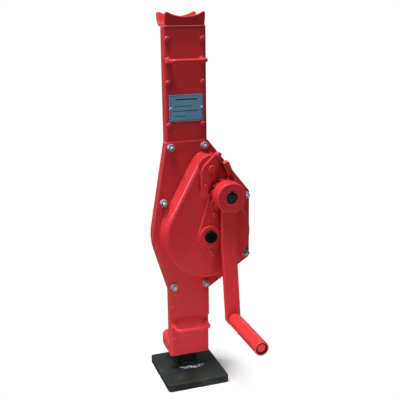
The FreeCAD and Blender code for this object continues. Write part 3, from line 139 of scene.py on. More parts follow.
class NodeSheet:
    """A node tree with short calls for adding and joining its nodes."""

    # A Mix node has sockets for every kind of data. These are the ones for colours.
    MIX_SHARE = 0
    MIX_FIRST = 6
    MIX_SECOND = 7
    MIX_RESULT = 2

    def __init__(self, tree: bpy.types.NodeTree) -> None:
        """Keeps the tree that nodes are added to."""
        self.tree = tree

    def add(self, kind: str, **settings: Any) -> bpy.types.Node:
        """Adds a node.

        Args:
            kind: Blender's name of the node type.
            **settings: Properties to set on it.

        Returns:
            The new node.
        """
        node = self.tree.nodes.new(kind)
        for name, value in settings.items():
            setattr(node, name, value)
        return node

    def put(self, target: Socket, source: Source) -> None:
        """Links a socket to an input, or sets the input's own value.

        Args:
            target: The input socket.
            source: An output socket, a number, or a colour or vector.
        """
        if isinstance(source, bpy.types.NodeSocket):
            self.tree.links.new(source, target)
        elif isinstance(source, (int, float)):
            target.default_value = source
        else:
            values = tuple(source)
            wanted = len(target.default_value)
            target.default_value = values + (1.0,) * (wanted - len(values))

    def stretched(self, vector: Socket, scale: Triple) -> Socket:
        """Coordinates stretched along the axes.

        Args:
            vector: Coordinates to stretch.
            scale: Factor for each axis.

        Returns:
            The stretched coordinates.
        """
        node = self.add("ShaderNodeMapping")
        self.put(node.inputs["Vector"], vector)
        self.put(node.inputs["Scale"], scale)
        return node.outputs["Vector"]

    def noise(self, vector: Socket, grain: Grain) -> Socket:
        """Soft noise between 0 and 1.

        Args:
            vector: Coordinates.
            grain: How coarse it is.

        Returns:
            The noise value.
        """
        node = self.add("ShaderNodeTexNoise")
        self.put(node.inputs["Vector"], vector)
        self.put(node.inputs["Scale"], grain.scale)
        self.put(node.inputs["Detail"], grain.detail)
        self.put(node.inputs["Roughness"], grain.rough)
        return node.outputs["Fac"]

    def math(self, operation: str, first: Source, second: Source) -> Socket:
        """One arithmetic step.

        Args:
            operation: Blender's name of the operation.
            first: First operand.
            second: Second operand.

        Returns:
            The result.
        """
        node = self.add("ShaderNodeMath", operation=operation)
        self.put(node.inputs[0], first)
        self.put(node.inputs[1], second)
        return node.outputs[0]

    def step(
        self, value: Source, low: Source, high: Source, start: Source = 0.0, end: Source = 1.0
    ) -> Socket:
        """A smooth step from start to end as a value goes from low to high.

        Args:
            value: What is read.
            low: Value where the step begins.
            high: Value where it ends.
            start: Result before the step.
            end: Result after it.

        Returns:
            The stepped value.
        """
        node = self.add("ShaderNodeMapRange", interpolation_type="SMOOTHSTEP")
        names = ("Value", "From Min", "From Max", "To Min", "To Max")
        for name, source in zip(names, (value, low, high, start, end)):
            self.put(node.inputs[name], source)
        return node.outputs["Result"]

    def mix(self, share: Source, first: Source, second: Source) -> Socket:
        """A blend of two colours.

        Args:
            share: How much of the second shows.
            first: First colour.
            second: Second colour.

        Returns:
            The blended colour.
        """
        node = self.add("ShaderNodeMix", data_type="RGBA")
        self.put(node.inputs[self.MIX_SHARE], share)
        self.put(node.inputs[self.MIX_FIRST], first)
        self.put(node.inputs[self.MIX_SECOND], second)
        return node.outputs[self.MIX_RESULT]

    def tint(self, tone: Source, mask: Socket, share: Source, colour: Colour) -> Socket:
        """A tone with a colour laid over it through a mask, at a share of its full strength."""
        return self.mix(self.math("MULTIPLY", mask, share), tone, colour)

    def bump(self, height: Source, distance: float, normal: Optional[Socket] = None) -> Socket:
        """A normal raised by a height between 0 and 1.

        Args:
            height: The height.
            distance: Metres that a height of 1 stands for.
            normal: Normal to start from.

        Returns:
            The new normal.
        """
        node = self.add("ShaderNodeBump")
        self.put(node.inputs["Strength"], 1.0)
        self.put(node.inputs["Distance"], distance)
        self.put(node.inputs["Height"], height)
        if normal is not None:
            self.put(node.inputs["Normal"], normal)
        return node.outputs["Normal"]


class EffectGroup(NodeSheet):
    """A shader node group with named inputs and outputs, under construction."""

    def __init__(self, effect: Effect, inputs: dict[str, float], outputs: dict[str, str]) -> None:
        """Makes the group's tree and sockets.

        Args:
            effect: The effect that the group gives.
            inputs: Default of each number that goes in, by name. Coordinates always go in, as Place.
            outputs: Socket type of each result, by name.
        """
        tree = bpy.data.node_groups.new(effect.value, "ShaderNodeTree")
        tree.interface.new_socket("Place", in_out="INPUT", socket_type="NodeSocketVector")
        for name, value in inputs.items():
            socket = tree.interface.new_socket(name, in_out="INPUT", socket_type="NodeSocketFloat")
            socket.default_value = value
        for name, kind in outputs.items():
            tree.interface.new_socket(name, in_out="OUTPUT", socket_type=kind)
        super().__init__(tree)
        self.given = self.add("NodeGroupInput").outputs
        self.results = self.add("NodeGroupOutput").inputs

    def give(self, name: str, source: Source) -> None:
        """Sends a value out of the group under a name."""
        self.put(self.results[name], source)


BEVEL_SAMPLES = 6
# Where an edge begins and is whole, as 1 less the cosine of the surface's turn there.
EDGE_SPAN = (0.015, 0.16)
# Where in its noise a torn edge begins and is whole.
TORN_SPAN = (0.42, 0.62)
NOISE_MIDDLE = 0.5


def make_edge_wear_and_highlight() -> None:
    """Edges of a piece as an even line, which also carries painted edge highlights, and as a torn mask, and
    the surface normal rounded over them.
    """
    group = EffectGroup(
        Effect.EDGE_WEAR_AND_HIGHLIGHT,
        {"Radius": 1.0 * MM, "Breakup": 90.0},
        {"Edge": "NodeSocketFloat", "Line": "NodeSocketFloat", "Normal": "NodeSocketVector"},
    )
    bevel = group.add("ShaderNodeBevel", samples=BEVEL_SAMPLES)
    group.put(bevel.inputs["Radius"], group.given["Radius"])
    true_normal = group.add("ShaderNodeNewGeometry").outputs["True Normal"]
    dot = group.add("ShaderNodeVectorMath", operation="DOT_PRODUCT")
    group.put(dot.inputs[0], bevel.outputs["Normal"])
    group.put(dot.inputs[1], true_normal)
    line = group.step(group.math("SUBTRACT", 1.0, dot.outputs["Value"]), *EDGE_SPAN)
    torn = group.noise(group.given["Place"], Grain(group.given["Breakup"], detail=4.0, rough=0.6))
    group.give("Line", line)
    group.give("Edge", group.math("MULTIPLY", line, group.step(torn, *TORN_SPAN)))
    group.give("Normal", bevel.outputs["Normal"])


def make_orange_peel() -> None:
    """Fine ripple of sprayed paint over the slow waves of pressed sheet."""
    group = EffectGroup(
        Effect.ORANGE_PEEL,
        {"Peel": 420.0, "Wave": 22.0, "Share": 0.75},
        {"Height": "NodeSocketFloat"},
    )
    place, share = group.given["Place"], group.given["Share"]
    peel = group.noise(place, Grain(group.given["Peel"], detail=1.5, rough=0.4))
    wave = group.noise(place, Grain(group.given["Wave"], detail=1.0, rough=0.4))
    fine = group.math("MULTIPLY", peel, group.math("SUBTRACT", 1.0, share))
    group.give("Height", group.math("ADD", fine, group.math("MULTIPLY", wave, share)))


def make_mottle() -> None:
    """Cloudy patches, with finer specks inside them."""
    group = EffectGroup(
        Effect.MOTTLE,
        {"Patch": 30.0, "Speck": 400.0, "Soft": 0.15},
        {"Patches": "NodeSocketFloat", "Specks": "NodeSocketFloat"},
    )
    place, soft = group.given["Place"], group.given["Soft"]
    patch = group.noise(place, Grain(group.given["Patch"], detail=5.0, rough=0.6))
    speck = group.noise(place, Grain(group.given["Speck"], detail=3.0, rough=0.6))
    low = group.math("SUBTRACT", NOISE_MIDDLE, soft)
    high = group.math("ADD", NOISE_MIDDLE, soft)
    group.give("Patches", group.step(patch, low, high))
    group.give("Specks", group.step(speck, low, high))


class Surface(NodeSheet):
    """The node tree of a material, with its shader and the coordinates of what wears it."""

    def __init__(self, name: str) -> None:
        """Starts a material.

        Args:
            name: The material's name.
        """
        self.material = bpy.data.materials.new(name)
        self.material.use_nodes = True
        super().__init__(self.material.node_tree)
        self.shader = self.tree.nodes["Principled BSDF"]
        self.place = self.add("ShaderNodeTexCoord").outputs["Object"]

    def give(self, name: str, source: Source) -> None:
        """Links or sets an input of the shader."""
        self.put(self.shader.inputs[name], source)

    def effect(self, effect: Effect, **inputs: Source) -> bpy.types.NodeOutputs:
        """Places a shared effect on the surface's coordinates.

        Args:
            effect: Which effect.
            **inputs: Values for its named inputs.

        Returns:
            What the effect puts out, by name.
        """
        node = self.add("ShaderNodeGroup", node_tree=bpy.data.node_groups[effect.value])
        self.put(node.inputs["Place"], self.place)
        for name, source in inputs.items():
            self.put(node.inputs[name], source)
        return node.outputs


@dataclass(frozen=True)
class Finish:
    """A surface finish that becomes one material.

    Attributes:
        slot: The record's material slot that it belongs to.
        colour: Main colour.
        roughness: Roughness that the specks vary.
        shine: Strength of the plain reflection.
        patch: Cloudy patches per metre.
        speck: Specks per metre.
        soft: How softly patches and specks end.
        smoother: How far the roughness falls away from the specks.
        rougher: How far it rises on them.
    """

    slot: Slot
    colour: Colour
    roughness: float
    shine: float = 0.5
    patch: float = 120.0
    speck: float = 1500.0
    soft: float = 0.25
    smoother: float = 0.06
    rougher: float = 0.10

    def make(self, look: Look) -> bpy.types.Material:
        """Makes the material.

        Args:
            look: The finish's name.

        Returns:
            The material.
        """
        surface = Surface(look.value)
        surface.give("Specular IOR Level", self.shine)
        self.lay_on(surface)
        return surface.material

    def lay_on(self, surface: Surface) -> None:
        """Lays the finish on a surface."""
        raise NotImplementedError

    def mottle(self, surface: Surface) -> bpy.types.NodeOutputs:
        """Patches and specks at this finish's scales."""
        return surface.effect(Effect.MOTTLE, Patch=self.patch, Speck=self.speck, Soft=self.soft)

    def roughen(self, surface: Surface, specks: Socket) -> None:
        """Varies the roughness with the specks.

        Args:
            surface: Surface to work on.
            specks: The specks as a mask.
        """
        smooth, coarse = self.roughness - self.smoother, self.roughness + self.rougher
        surface.give("Roughness", surface.step(specks, 0.0, 1.0, smooth, coarse))


@dataclass(frozen=True)
class EdgedFinish(Finish):
    """A finish that changes along edges.

    Attributes:
        edge_radius: How far an edge reaches into the faces beside it.
        breakup: Breaks in a torn edge per metre.
    """

    edge_radius: float = 0.5 * MM
    breakup: float = 300.0

    def edge_wear_and_highlight(self, surface: Surface) -> bpy.types.NodeOutputs:
        """Edges of this finish's width."""
        return surface.effect(Effect.EDGE_WEAR_AND_HIGHLIGHT, Radius=self.edge_radius, Breakup=self.breakup)


@dataclass(frozen=True)
class GlossPaint(EdgedFinish):
    """Sprayed gloss enamel on steel.

    Attributes:
        deep: Colour that the paint drifts to in patches.
        edge: Colour where the paint thins over an edge, which also stands for a painted highlight there.
        primer: Colour under chips.
        drift: Share of the deep colour in its patches.
        edge_light: Share of the edge colour on edges.
        wear: How much more of the edges is chipped.
        chips: Noise that the chips follow.
        chip_span: Where in that noise a chip begins and is whole.
        peel_height: Height of the orange peel skin.
    """

    patch: float = 14.0
    speck: float = 120.0
    soft: float = 0.28
    smoother: float = 0.03
    rougher: float = 0.04
    edge_radius: float = 1.3 * MM
    breakup: float = 120.0
    deep: Colour = (0.56, 0.034, 0.058)
    edge: Colour = (0.95, 0.19, 0.20)
    primer: Colour = (0.07, 0.066, 0.064)
    drift: float = 0.3
    edge_light: float = 0.6
    wear: float = 0.0
    chips: Grain = Grain(210.0, detail=4.0, rough=0.65)
    chip_span: Span = (0.66, 0.70)
    peel_height: float = 0.012 * MM

    def lay_on(self, surface: Surface) -> None:
        """Lays the paint on: slow colour drift, edges lightened as thin paint and as a painted highlight,
        chips and an orange peel skin.

        Args:
            surface: Surface to work on.
        """
        edge_masks = self.edge_wear_and_highlight(surface)
        cloud = self.mottle(surface)
        tone = surface.tint(self.colour, cloud["Patches"], self.drift, self.deep)
        # Painted highlight: every edge is lightened all round, partly as thinner paint and partly as gloss
        # catching light on the rounded edge.
        tone = surface.tint(tone, edge_masks["Line"], self.edge_light, self.edge)
        begins, whole = (level - self.wear for level in self.chip_span)
        chipped = surface.step(surface.noise(surface.place, self.chips), begins, whole)
        surface.give("Base Color", surface.tint(tone, edge_masks["Edge"], chipped, self.primer))
        self.roughen(surface, cloud["Specks"])
        peel = surface.effect(Effect.ORANGE_PEEL)
        surface.give("Normal", surface.bump(peel["Height"], self.peel_height, edge_masks["Normal"]))


@dataclass(frozen=True)
class ScaleSteel(EdgedFinish):
    """Hot rolled steel under dark mill scale, with brown rust along its edges.

    Attributes:
        light: Colour of the paler scale.
        rust: Colour of the rust.
        bare: Colour of steel rubbed bare on edges.
        patch_share: Share of the paler scale in its patches.
        speck_share: Share of it in specks.
        rust_share: Share of rust on edges.
        rub_share: Share of bare steel on torn edges.
        blotches: Noise that rust on the faces follows.
        blotch_span: Where in that noise a blotch begins and is whole.
        blotch_share: Rust in a blotch, against that on edges.
        pits: Noise that the pits follow.
        pit_depth: Their depth.
    """

    patch: float = 38.0
    speck: float = 700.0
    soft: float = 0.2
    smoother: float = 0.10
    rougher: float = 0.12
    edge_radius: float = 4.5 * MM
    breakup: float = 60.0
    light: Colour = (0.030, 0.042, 0.038)
    rust: Colour = (0.125, 0.068, 0.036)
    bare: Colour = (0.16, 0.165, 0.155)
    patch_share: float = 0.6
    speck_share: float = 0.25
    rust_share: float = 0.75
    rub_share: float = 0.4
    blotches: Grain = Grain(45.0, detail=5.0, rough=0.62)
    blotch_span: Span = (0.54, 0.74)
    blotch_share: float = 0.4
    pits: Grain = Grain(900.0, detail=4.0, rough=0.6)
    pit_depth: float = 0.12 * MM

    def lay_on(self, surface: Surface) -> None:
        """Lays the scale on: cloudy colour, rust in blotches and on edges, rubbed edges and pits.

        Args:
            surface: Surface to work on.
        """
        cloud = self.mottle(surface)
        edge_masks = self.edge_wear_and_highlight(surface)
        tone = surface.tint(self.colour, cloud["Patches"], self.patch_share, self.light)
        tone = surface.tint(tone, cloud["Specks"], self.speck_share, self.light)
        rusting = surface.noise(surface.place, self.blotches)
        blotch = surface.step(rusting, *self.blotch_span, 0.0, self.blotch_share * self.rust_share)
        tone = surface.mix(blotch, tone, self.rust)
        tone = surface.tint(tone, edge_masks["Line"], self.rust_share, self.rust)
        surface.give("Base Color", surface.tint(tone, edge_masks["Edge"], self.rub_share, self.bare))
        self.roughen(surface, cloud["Specks"])
        pits = surface.noise(surface.place, self.pits)
        surface.give("Normal", surface.bump(pits, self.pit_depth, edge_masks["Normal"]))


@dataclass(frozen=True)
class BareMetal(EdgedFinish):
    """Machined, plated or brushed metal, or a thin print on it.

    Attributes:
        shade: Darker or paler colour of the patches and tool marks.
        metal: How metallic it is.
        edge_shine: Share of the painted highlight colour on edges.
        edge_gain: How much brighter than the main colour that is, as a factor.
        edge_lift: What is added to it then.
        marks: Noise that the tool marks follow.
        stretch: Factor for each axis, under 1 where the marks run long.
        mark_span: Where in that noise a mark begins and is whole.
        mark_share: Share of the shade in a mark.
        mark_depth: Depth of the marks.
    """

    shade: Colour = field(kw_only=True)
    metal: float = 1.0
    edge_shine: float = 0.5
    edge_gain: float = 1.35
    edge_lift: float = 0.05
    marks: Grain = Grain(1800.0, detail=3.0, rough=0.6)
    stretch: Triple = (1.0, 1.0, 1.0)
    mark_span: Span = (0.35, 0.7)
    mark_share: float = 0.35
    mark_depth: float = 0.02 * MM

    def lay_on(self, surface: Surface) -> None:
        """Lays the metal on: cloudy plating, fine tool marks and a painted highlight along edges.

        Args:
            surface: Surface to work on.
        """
        cloud = self.mottle(surface)
        edge_masks = self.edge_wear_and_highlight(surface)
        marks = surface.noise(surface.stretched(surface.place, self.stretch), self.marks)
        tone = surface.mix(cloud["Patches"], self.colour, self.shade)
        tone = surface.mix(surface.step(marks, *self.mark_span, 0.0, self.mark_share), tone, self.shade)
        # Painted highlight: a brighter copy of the main colour laid along every edge.
        bright = tuple(min(1.0, self.edge_gain * part + self.edge_lift) for part in self.colour)
        surface.give("Base Color", surface.tint(tone, edge_masks["Line"], self.edge_shine, bright))
        surface.give("Metallic", self.metal)
        self.roughen(surface, cloud["Specks"])
        surface.give("Normal", surface.bump(marks, self.mark_depth, edge_masks["Normal"]))


@dataclass(frozen=True)
class HeatTintedWeld(Finish):
    """Weld metal with blue heat colours and patches of dull soot.

    Attributes:
        blue: Heat colour of the patches.
        soot: Colour of the soot.
        grime: Noise that the soot follows.
        soot_from: Where in that noise the soot begins.
        soot_width: How much further it is whole.
        soot_share: Share of soot there.
        clean_metal: How metallic the clean weld is.
        soot_metal: How metallic the soot is.
        ripples: Noise that the skin follows.
        ripple_depth: Its depth.
    """

    patch: float = 90.0
    speck: float = 900.0
    soft: float = 0.2
    smoother: float = 0.08
    rougher: float = 0.15
    blue: Colour = (0.30, 0.40, 0.46)
    soot: Colour = (0.02, 0.026, 0.026)
    grime: Grain = Grain(160.0, detail=4.0, rough=0.6)
    soot_from: float = 0.55
    soot_width: float = 0.16
    soot_share: float = 0.9
    clean_metal: float = 0.85
    soot_metal: float = 0.1
    ripples: Grain = Grain(1200.0, detail=3.0, rough=0.6)
    ripple_depth: float = 0.08 * MM

    def lay_on(self, surface: Surface) -> None:
        """Lays the weld metal on: heat colours, soot and a rippled skin.

        Args:
            surface: Surface to work on.
        """
        cloud = self.mottle(surface)
        tone = surface.mix(cloud["Patches"], self.colour, self.blue)
        grime = surface.noise(surface.place, self.grime)
        soot_full = self.soot_from + self.soot_width
        dull = surface.step(grime, self.soot_from, soot_full, 0.0, self.soot_share)
        surface.give("Base Color", surface.mix(dull, tone, self.soot))
        metal = surface.step(dull, 0.0, self.soot_share, self.clean_metal, self.soot_metal)
        surface.give("Metallic", metal)
        self.roughen(surface, cloud["Specks"])
        ripples = surface.noise(surface.place, self.ripples)
        surface.give("Normal", surface.bump(ripples, self.ripple_depth))


RED = (0.74, 0.041, 0.047)
FINISHES: dict[Look, Finish] = {
    Look.RED_PAINT: GlossPaint(Slot.RED_PAINT, RED, roughness=0.18, shine=0.36),
    Look.RUBBED_PAINT: GlossPaint(Slot.RED_PAINT, RED, roughness=0.26, shine=0.3, wear=0.2, drift=0.5),
    # Dark red of the hub ring: partly grease, partly painted shade of the recess round the shaft end.
    Look.GREASE_AND_SHADE_PAINT: GlossPaint(
        Slot.RED_PAINT, (0.16, 0.015, 0.020), roughness=0.38, shine=0.3,
        deep=(0.035, 0.014, 0.014), drift=0.8, edge_light=0.2,
    ),
    Look.PLATE_STEEL: ScaleSteel(Slot.DARK_STEEL, (0.011, 0.016, 0.014), roughness=0.55, shine=0.2),
    Look.RACK_STEEL: ScaleSteel(
        Slot.DARK_STEEL, (0.007, 0.011, 0.010), roughness=0.42, shine=0.25,
        light=(0.016, 0.024, 0.022), rust_share=0.15,
    ),
    Look.BRIGHT_WELD: HeatTintedWeld(Slot.WELD_METAL, (0.46, 0.54, 0.59), roughness=0.40),
    Look.DULL_WELD: HeatTintedWeld(
        Slot.WELD_METAL, (0.05, 0.06, 0.06), roughness=0.48, shine=0.25,
        blue=(0.07, 0.095, 0.10), soot_from=0.42,
    ),
    Look.NAMEPLATE: BareMetal(
        Slot.BARE_ALUMINIUM, (0.23, 0.52, 0.78), roughness=0.42, shade=(0.17, 0.43, 0.66),
        metal=0.2, patch=60.0, stretch=(0.02, 1.0, 1.0), mark_depth=0.01 * MM,
    ),
    Look.PLATE_INK: BareMetal(
        Slot.BARE_ALUMINIUM, (0.020, 0.040, 0.055), roughness=0.5, shine=0.3,
        shade=(0.035, 0.060, 0.080), metal=0.0, edge_shine=0.1,
    ),
    Look.BRIGHT_ZINC: BareMetal(
        Slot.ZINC_STEEL, (0.80, 0.87, 0.95), roughness=0.20, shade=(0.56, 0.63, 0.71),
        metal=0.4, edge_radius=1.2 * MM,
    ),
    Look.DULL_ZINC: BareMetal(
        Slot.ZINC_STEEL, (0.56, 0.63, 0.71), roughness=0.24, shade=(0.25, 0.30, 0.35),
        metal=0.5, edge_shine=0.9, edge_radius=0.9 * MM,
    ),
    # Dark zinc for the bolt threads, darker than the nuts round them.
    Look.DARK_ZINC: BareMetal(
        Slot.ZINC_STEEL, (0.10, 0.115, 0.13), roughness=0.4, shade=(0.035, 0.042, 0.05),
        metal=0.5, edge_shine=0.3,
    ),
    Look.MACHINED_STEEL: BareMetal(
        Slot.MACHINED_STEEL, (0.15, 0.165, 0.165), roughness=0.30, shade=(0.07, 0.08, 0.08),
        stretch=(1.0, 0.15, 1.0),
    ),
    Look.SHAFT_END: BareMetal(
        Slot.MACHINED_STEEL, (0.012, 0.054, 0.048), roughness=0.36, shine=0.25,
        shade=(0.022, 0.078, 0.070), metal=0.2, edge_shine=0.8,
    ),
    Look.BLACK_STEEL: BareMetal(
        Slot.BLACK_STEEL, (0.002, 0.006, 0.005), roughness=0.42, shine=0.1,
        shade=(0.006, 0.012, 0.010), metal=0.0, edge_shine=0.1,
    ),
    Look.BRONZE: BareMetal(Slot.BRONZE, (0.52, 0.33, 0.13), roughness=0.33, shade=(0.36, 0.21, 0.08)),
}


def make_object(name: str, shape: bmesh.types.BMesh, material: bpy.types.Material) -> bpy.types.Object:
    """Turns a shape into an object of the scene.

    Args:
        name: Name of the object.
        shape: Its shape, in place. It is freed.
        material: What it wears.

    Returns:
        The object.
    """
    data = bpy.data.meshes.new(name)
    shape.to_mesh(data)
    shape.free()
    data.materials.append(material)
    made = bpy.data.objects.new(name, data)
    bpy.context.scene.collection.objects.link(made)
    return made


class Wardrobe:
    """All materials, made once, and the means to put them on pieces."""

    # Corners of a node's loose triangles that are nearer than this are one corner.
    SAME_CORNER = 0.002 * MM

    def __init__(self, nodes: dict[str, bpy.types.Object]) -> None:
        """Makes the shared effects and every material.

        Args:
            nodes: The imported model's objects by node name.
        """
        for make in (make_edge_wear_and_highlight, make_orange_peel, make_mottle):
            make()
        self.nodes = nodes
        self.materials = {look: finish.make(look) for look, finish in FINISHES.items()}

    def dress(self, look: Look, names: Iterable[str]) -> None:
        """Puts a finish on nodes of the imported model.

        Args:
            look: The finish.
            names: Node names.
        """
        for name in names:
            data = self.nodes[name].data
            data.materials.clear()
            data.materials.append(self.materials[look])
            LOG.info("node %s wears %s", name, look.value)

    def add(
        self,
        name: str,
        shape: bmesh.types.BMesh,
        look: Look,
        body: Body,
        replaces: Sequence[str] = (),
        smooth: bool = True,
    ) -> None:
        """Turns a finished shape into a piece that rides on a body.

        Args:
            name: Name of the piece.
            shape: Its shape, in place. It is freed.
            look: Its finish.
            body: The body that it moves with.
            replaces: Nodes that it stands for.
            smooth: Whether its faces are shaded as one smooth skin.
        """
        bmesh.ops.recalc_face_normals(shape, faces=shape.faces[:])
        piece = make_object(name, shape, self.materials[look])
        if smooth:
            piece.data.shade_smooth()
        else:
            piece.data.shade_flat()
        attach(piece, body.value)
        if replaces:
            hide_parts(*replaces)
        LOG.info("piece %s rides on %s, %d faces", name, body.value, len(piece.data.polygons))

    def solids(self, name: str) -> list[tuple[Vector, Vector]]:
        """Boxes of the separate solids in a node.

        Args:
            name: The node.

        Returns:
            Lowest and highest corner of each solid, from left to right.
        """
        shape = bmesh.new()
        shape.from_mesh(self.nodes[name].data)
        bmesh.ops.remove_doubles(shape, verts=shape.verts[:], dist=self.SAME_CORNER)
        left = set(shape.verts)
        boxes = []
        while left:
            found = [left.pop()]
            for corner in found:
                near = {edge.other_vert(corner) for edge in corner.link_edges} & left
                left -= near
                found.extend(near)
            low = Vector([min(corner.co[axis] for corner in found) for axis in range(3)])
            high = Vector([max(corner.co[axis] for corner in found) for axis in range(3)])
            boxes.append((low, high))
        shape.free()
        return sorted(boxes, key=lambda box: tuple(box[0]))


# A dished ring lags less along its own Y than along its X, by this share.
DISH_ACROSS = 0.4


def sweep_tube(
    shape: bmesh.types.BMesh, radius: float, sides: int, stations: Sequence[Matrix], dish: float = 0.0
) -> None:
    """Sweeps a closed tube through a row of stations.

    Args:
        shape: Shape to add to.
        radius: Radius of the ring that is swept.
        sides: Its number of sides.
        stations: Where the ring stands, one matrix after another.
        dish: How far the ring's rim lags behind its middle, as a share of the radius.
    """
    ring = bmesh.ops.create_circle(shape, cap_ends=True, segments=sides, radius=radius)["verts"]
    cap = ring[0].link_faces[0]
    for corner in ring:
        lag = -dish * (corner.co.x**2 + DISH_ACROSS * corner.co.y**2) / radius
        bmesh.ops.translate(shape, verts=[corner], vec=(0.0, 0.0, lag))
    bmesh.ops.transform(shape, matrix=stations[0], verts=ring)
    for before, station in zip(stations, stations[1:]):
        grown = bmesh.ops.extrude_face_region(shape, geom=[cap])["geom"]
        cap = next(part for part in grown if isinstance(part, bmesh.types.BMFace))
        bmesh.ops.transform(shape, matrix=station @ before.inverted(), verts=cap.verts[:])


def ring_at(point: Vector, heading: Vector, size: float = 1.0) -> Matrix:
    """Matrix that stands a flat ring at a point, facing along a heading."""
    turn = heading.to_track_quat("Z", "Y").to_matrix().to_4x4()
    return Matrix.Translation(point) @ turn @ Matrix.Scale(size, 4)


@dataclass
class WeldBead:
    """A run of weld metal laid in ripples along a path.

    Attributes:
        radius: Radius of the bead.
        pitch: Length of a ripple.
        swell: How much a ripple shrinks over its length, as a share.
        dish: How far a ripple's rim lags behind its middle, as a share of the radius.
        sides: Sides of the bead.
        steps: Rings in a ripple.
        end_size: Size of the run's two ends, as a share.
        least_ripples: Ripples in the shortest run.
    """

    radius: float
    pitch: float = 1.7 * MM
    swell: float = 0.13
    dish: float = 0.55
    sides: int = 12
    steps: int = 4
    end_size: float = 0.45
    least_ripples: int = 2

    def lay(self, shape: bmesh.types.BMesh, path: Sequence[Vector]) -> None:
        """Lays the bead along the corner points of a path, as one closed run of a shape."""
        sweep_tube(shape, self.radius, self.sides, self.stations(path), self.dish)

    def stations(self, path: Sequence[Vector]) -> list[Matrix]:
        """Places along the run where a ring stands, shrinking over each ripple and towards the ends.

        Args:
            path: Corner points of the run.

        Returns:
            One matrix for each ring.
        """
        lengths = [(b - a).length for a, b in zip(path, path[1:])]
        total = sum(lengths)
        count = max(self.least_ripples, round(total / self.pitch)) * self.steps
        found = []
        for index in range(count + 1):
            along = total * index / count
            leg = 0
            while leg < len(lengths) - 1 and along > lengths[leg]:
                along -= lengths[leg]
                leg += 1
            heading = (path[leg + 1] - path[leg]).normalized()
            point = path[leg] + heading * along
            phase = (index % self.steps) / self.steps
            from_end = min(index, count - index) / self.steps
            taper = min(1.0, self.end_size + (1.0 - self.end_size) * from_end)
            found.append(ring_at(point, heading, taper * (1.0 - self.swell * phase)))
        return found


# Sides of a slim bead under paint.
SLIM_SIDES = 10


def rounded_loop(low: Vector, high: Vector, corner: float, z: float, arc_steps: int = 5) -> list[Vector]:
    """Closed path round a rectangle with round corners, lying flat.

    Args:
        low: Lowest corner.
        high: Highest corner.
        corner: Radius of the corners.
        z: Height of the path.
        arc_steps: Straight pieces in each corner.

    Returns:
        The path's points, the first one repeated at the end.
    """
    centres = (
        (high.x - corner, high.y - corner),
        (low.x + corner, high.y - corner),
        (low.x + corner, low.y + corner),
        (high.x - corner, low.y + corner),
    )
    path = []
    for quarter, (x, y) in enumerate(centres):
        for step in range(arc_steps + 1):
            angle = math.radians(90.0 * quarter + 90.0 * step / arc_steps)
            path.append(Vector((x + corner * math.cos(angle), y + corner * math.sin(angle), z)))
    return path + [path[0]]


def upright_ring(centre: Vector, radius: float, steps: int = 24) -> list[Vector]:
    """Closed circular path facing the operator.

    Args:
        centre: Middle of the circle.
        radius: Its radius.
        steps: Straight pieces in the circle.

    Returns:
        The path's points, once round and one piece more.
    """
    angles = [2 * math.pi * step / steps for step in range(steps + 2)]
    return [centre + Vector((radius * math.cos(a), 0.0, radius * math.sin(a))) for a in angles]


def bar(shape: bmesh.types.BMesh, low: Vector, high: Vector) -> None:
    """Adds a straight rectangular bar between two corners."""
    size = Matrix.Diagonal((*(high - low), 1.0))
    bmesh.ops.create_cube(shape, size=1.0, matrix=Matrix.Translation((low + high) / 2) @ size)


@dataclass(frozen=True)
class Dab:
    """A short dab of weld: the place of its middle on the plate, and its turn in degrees."""

    x: float
    y: float
    turn: float


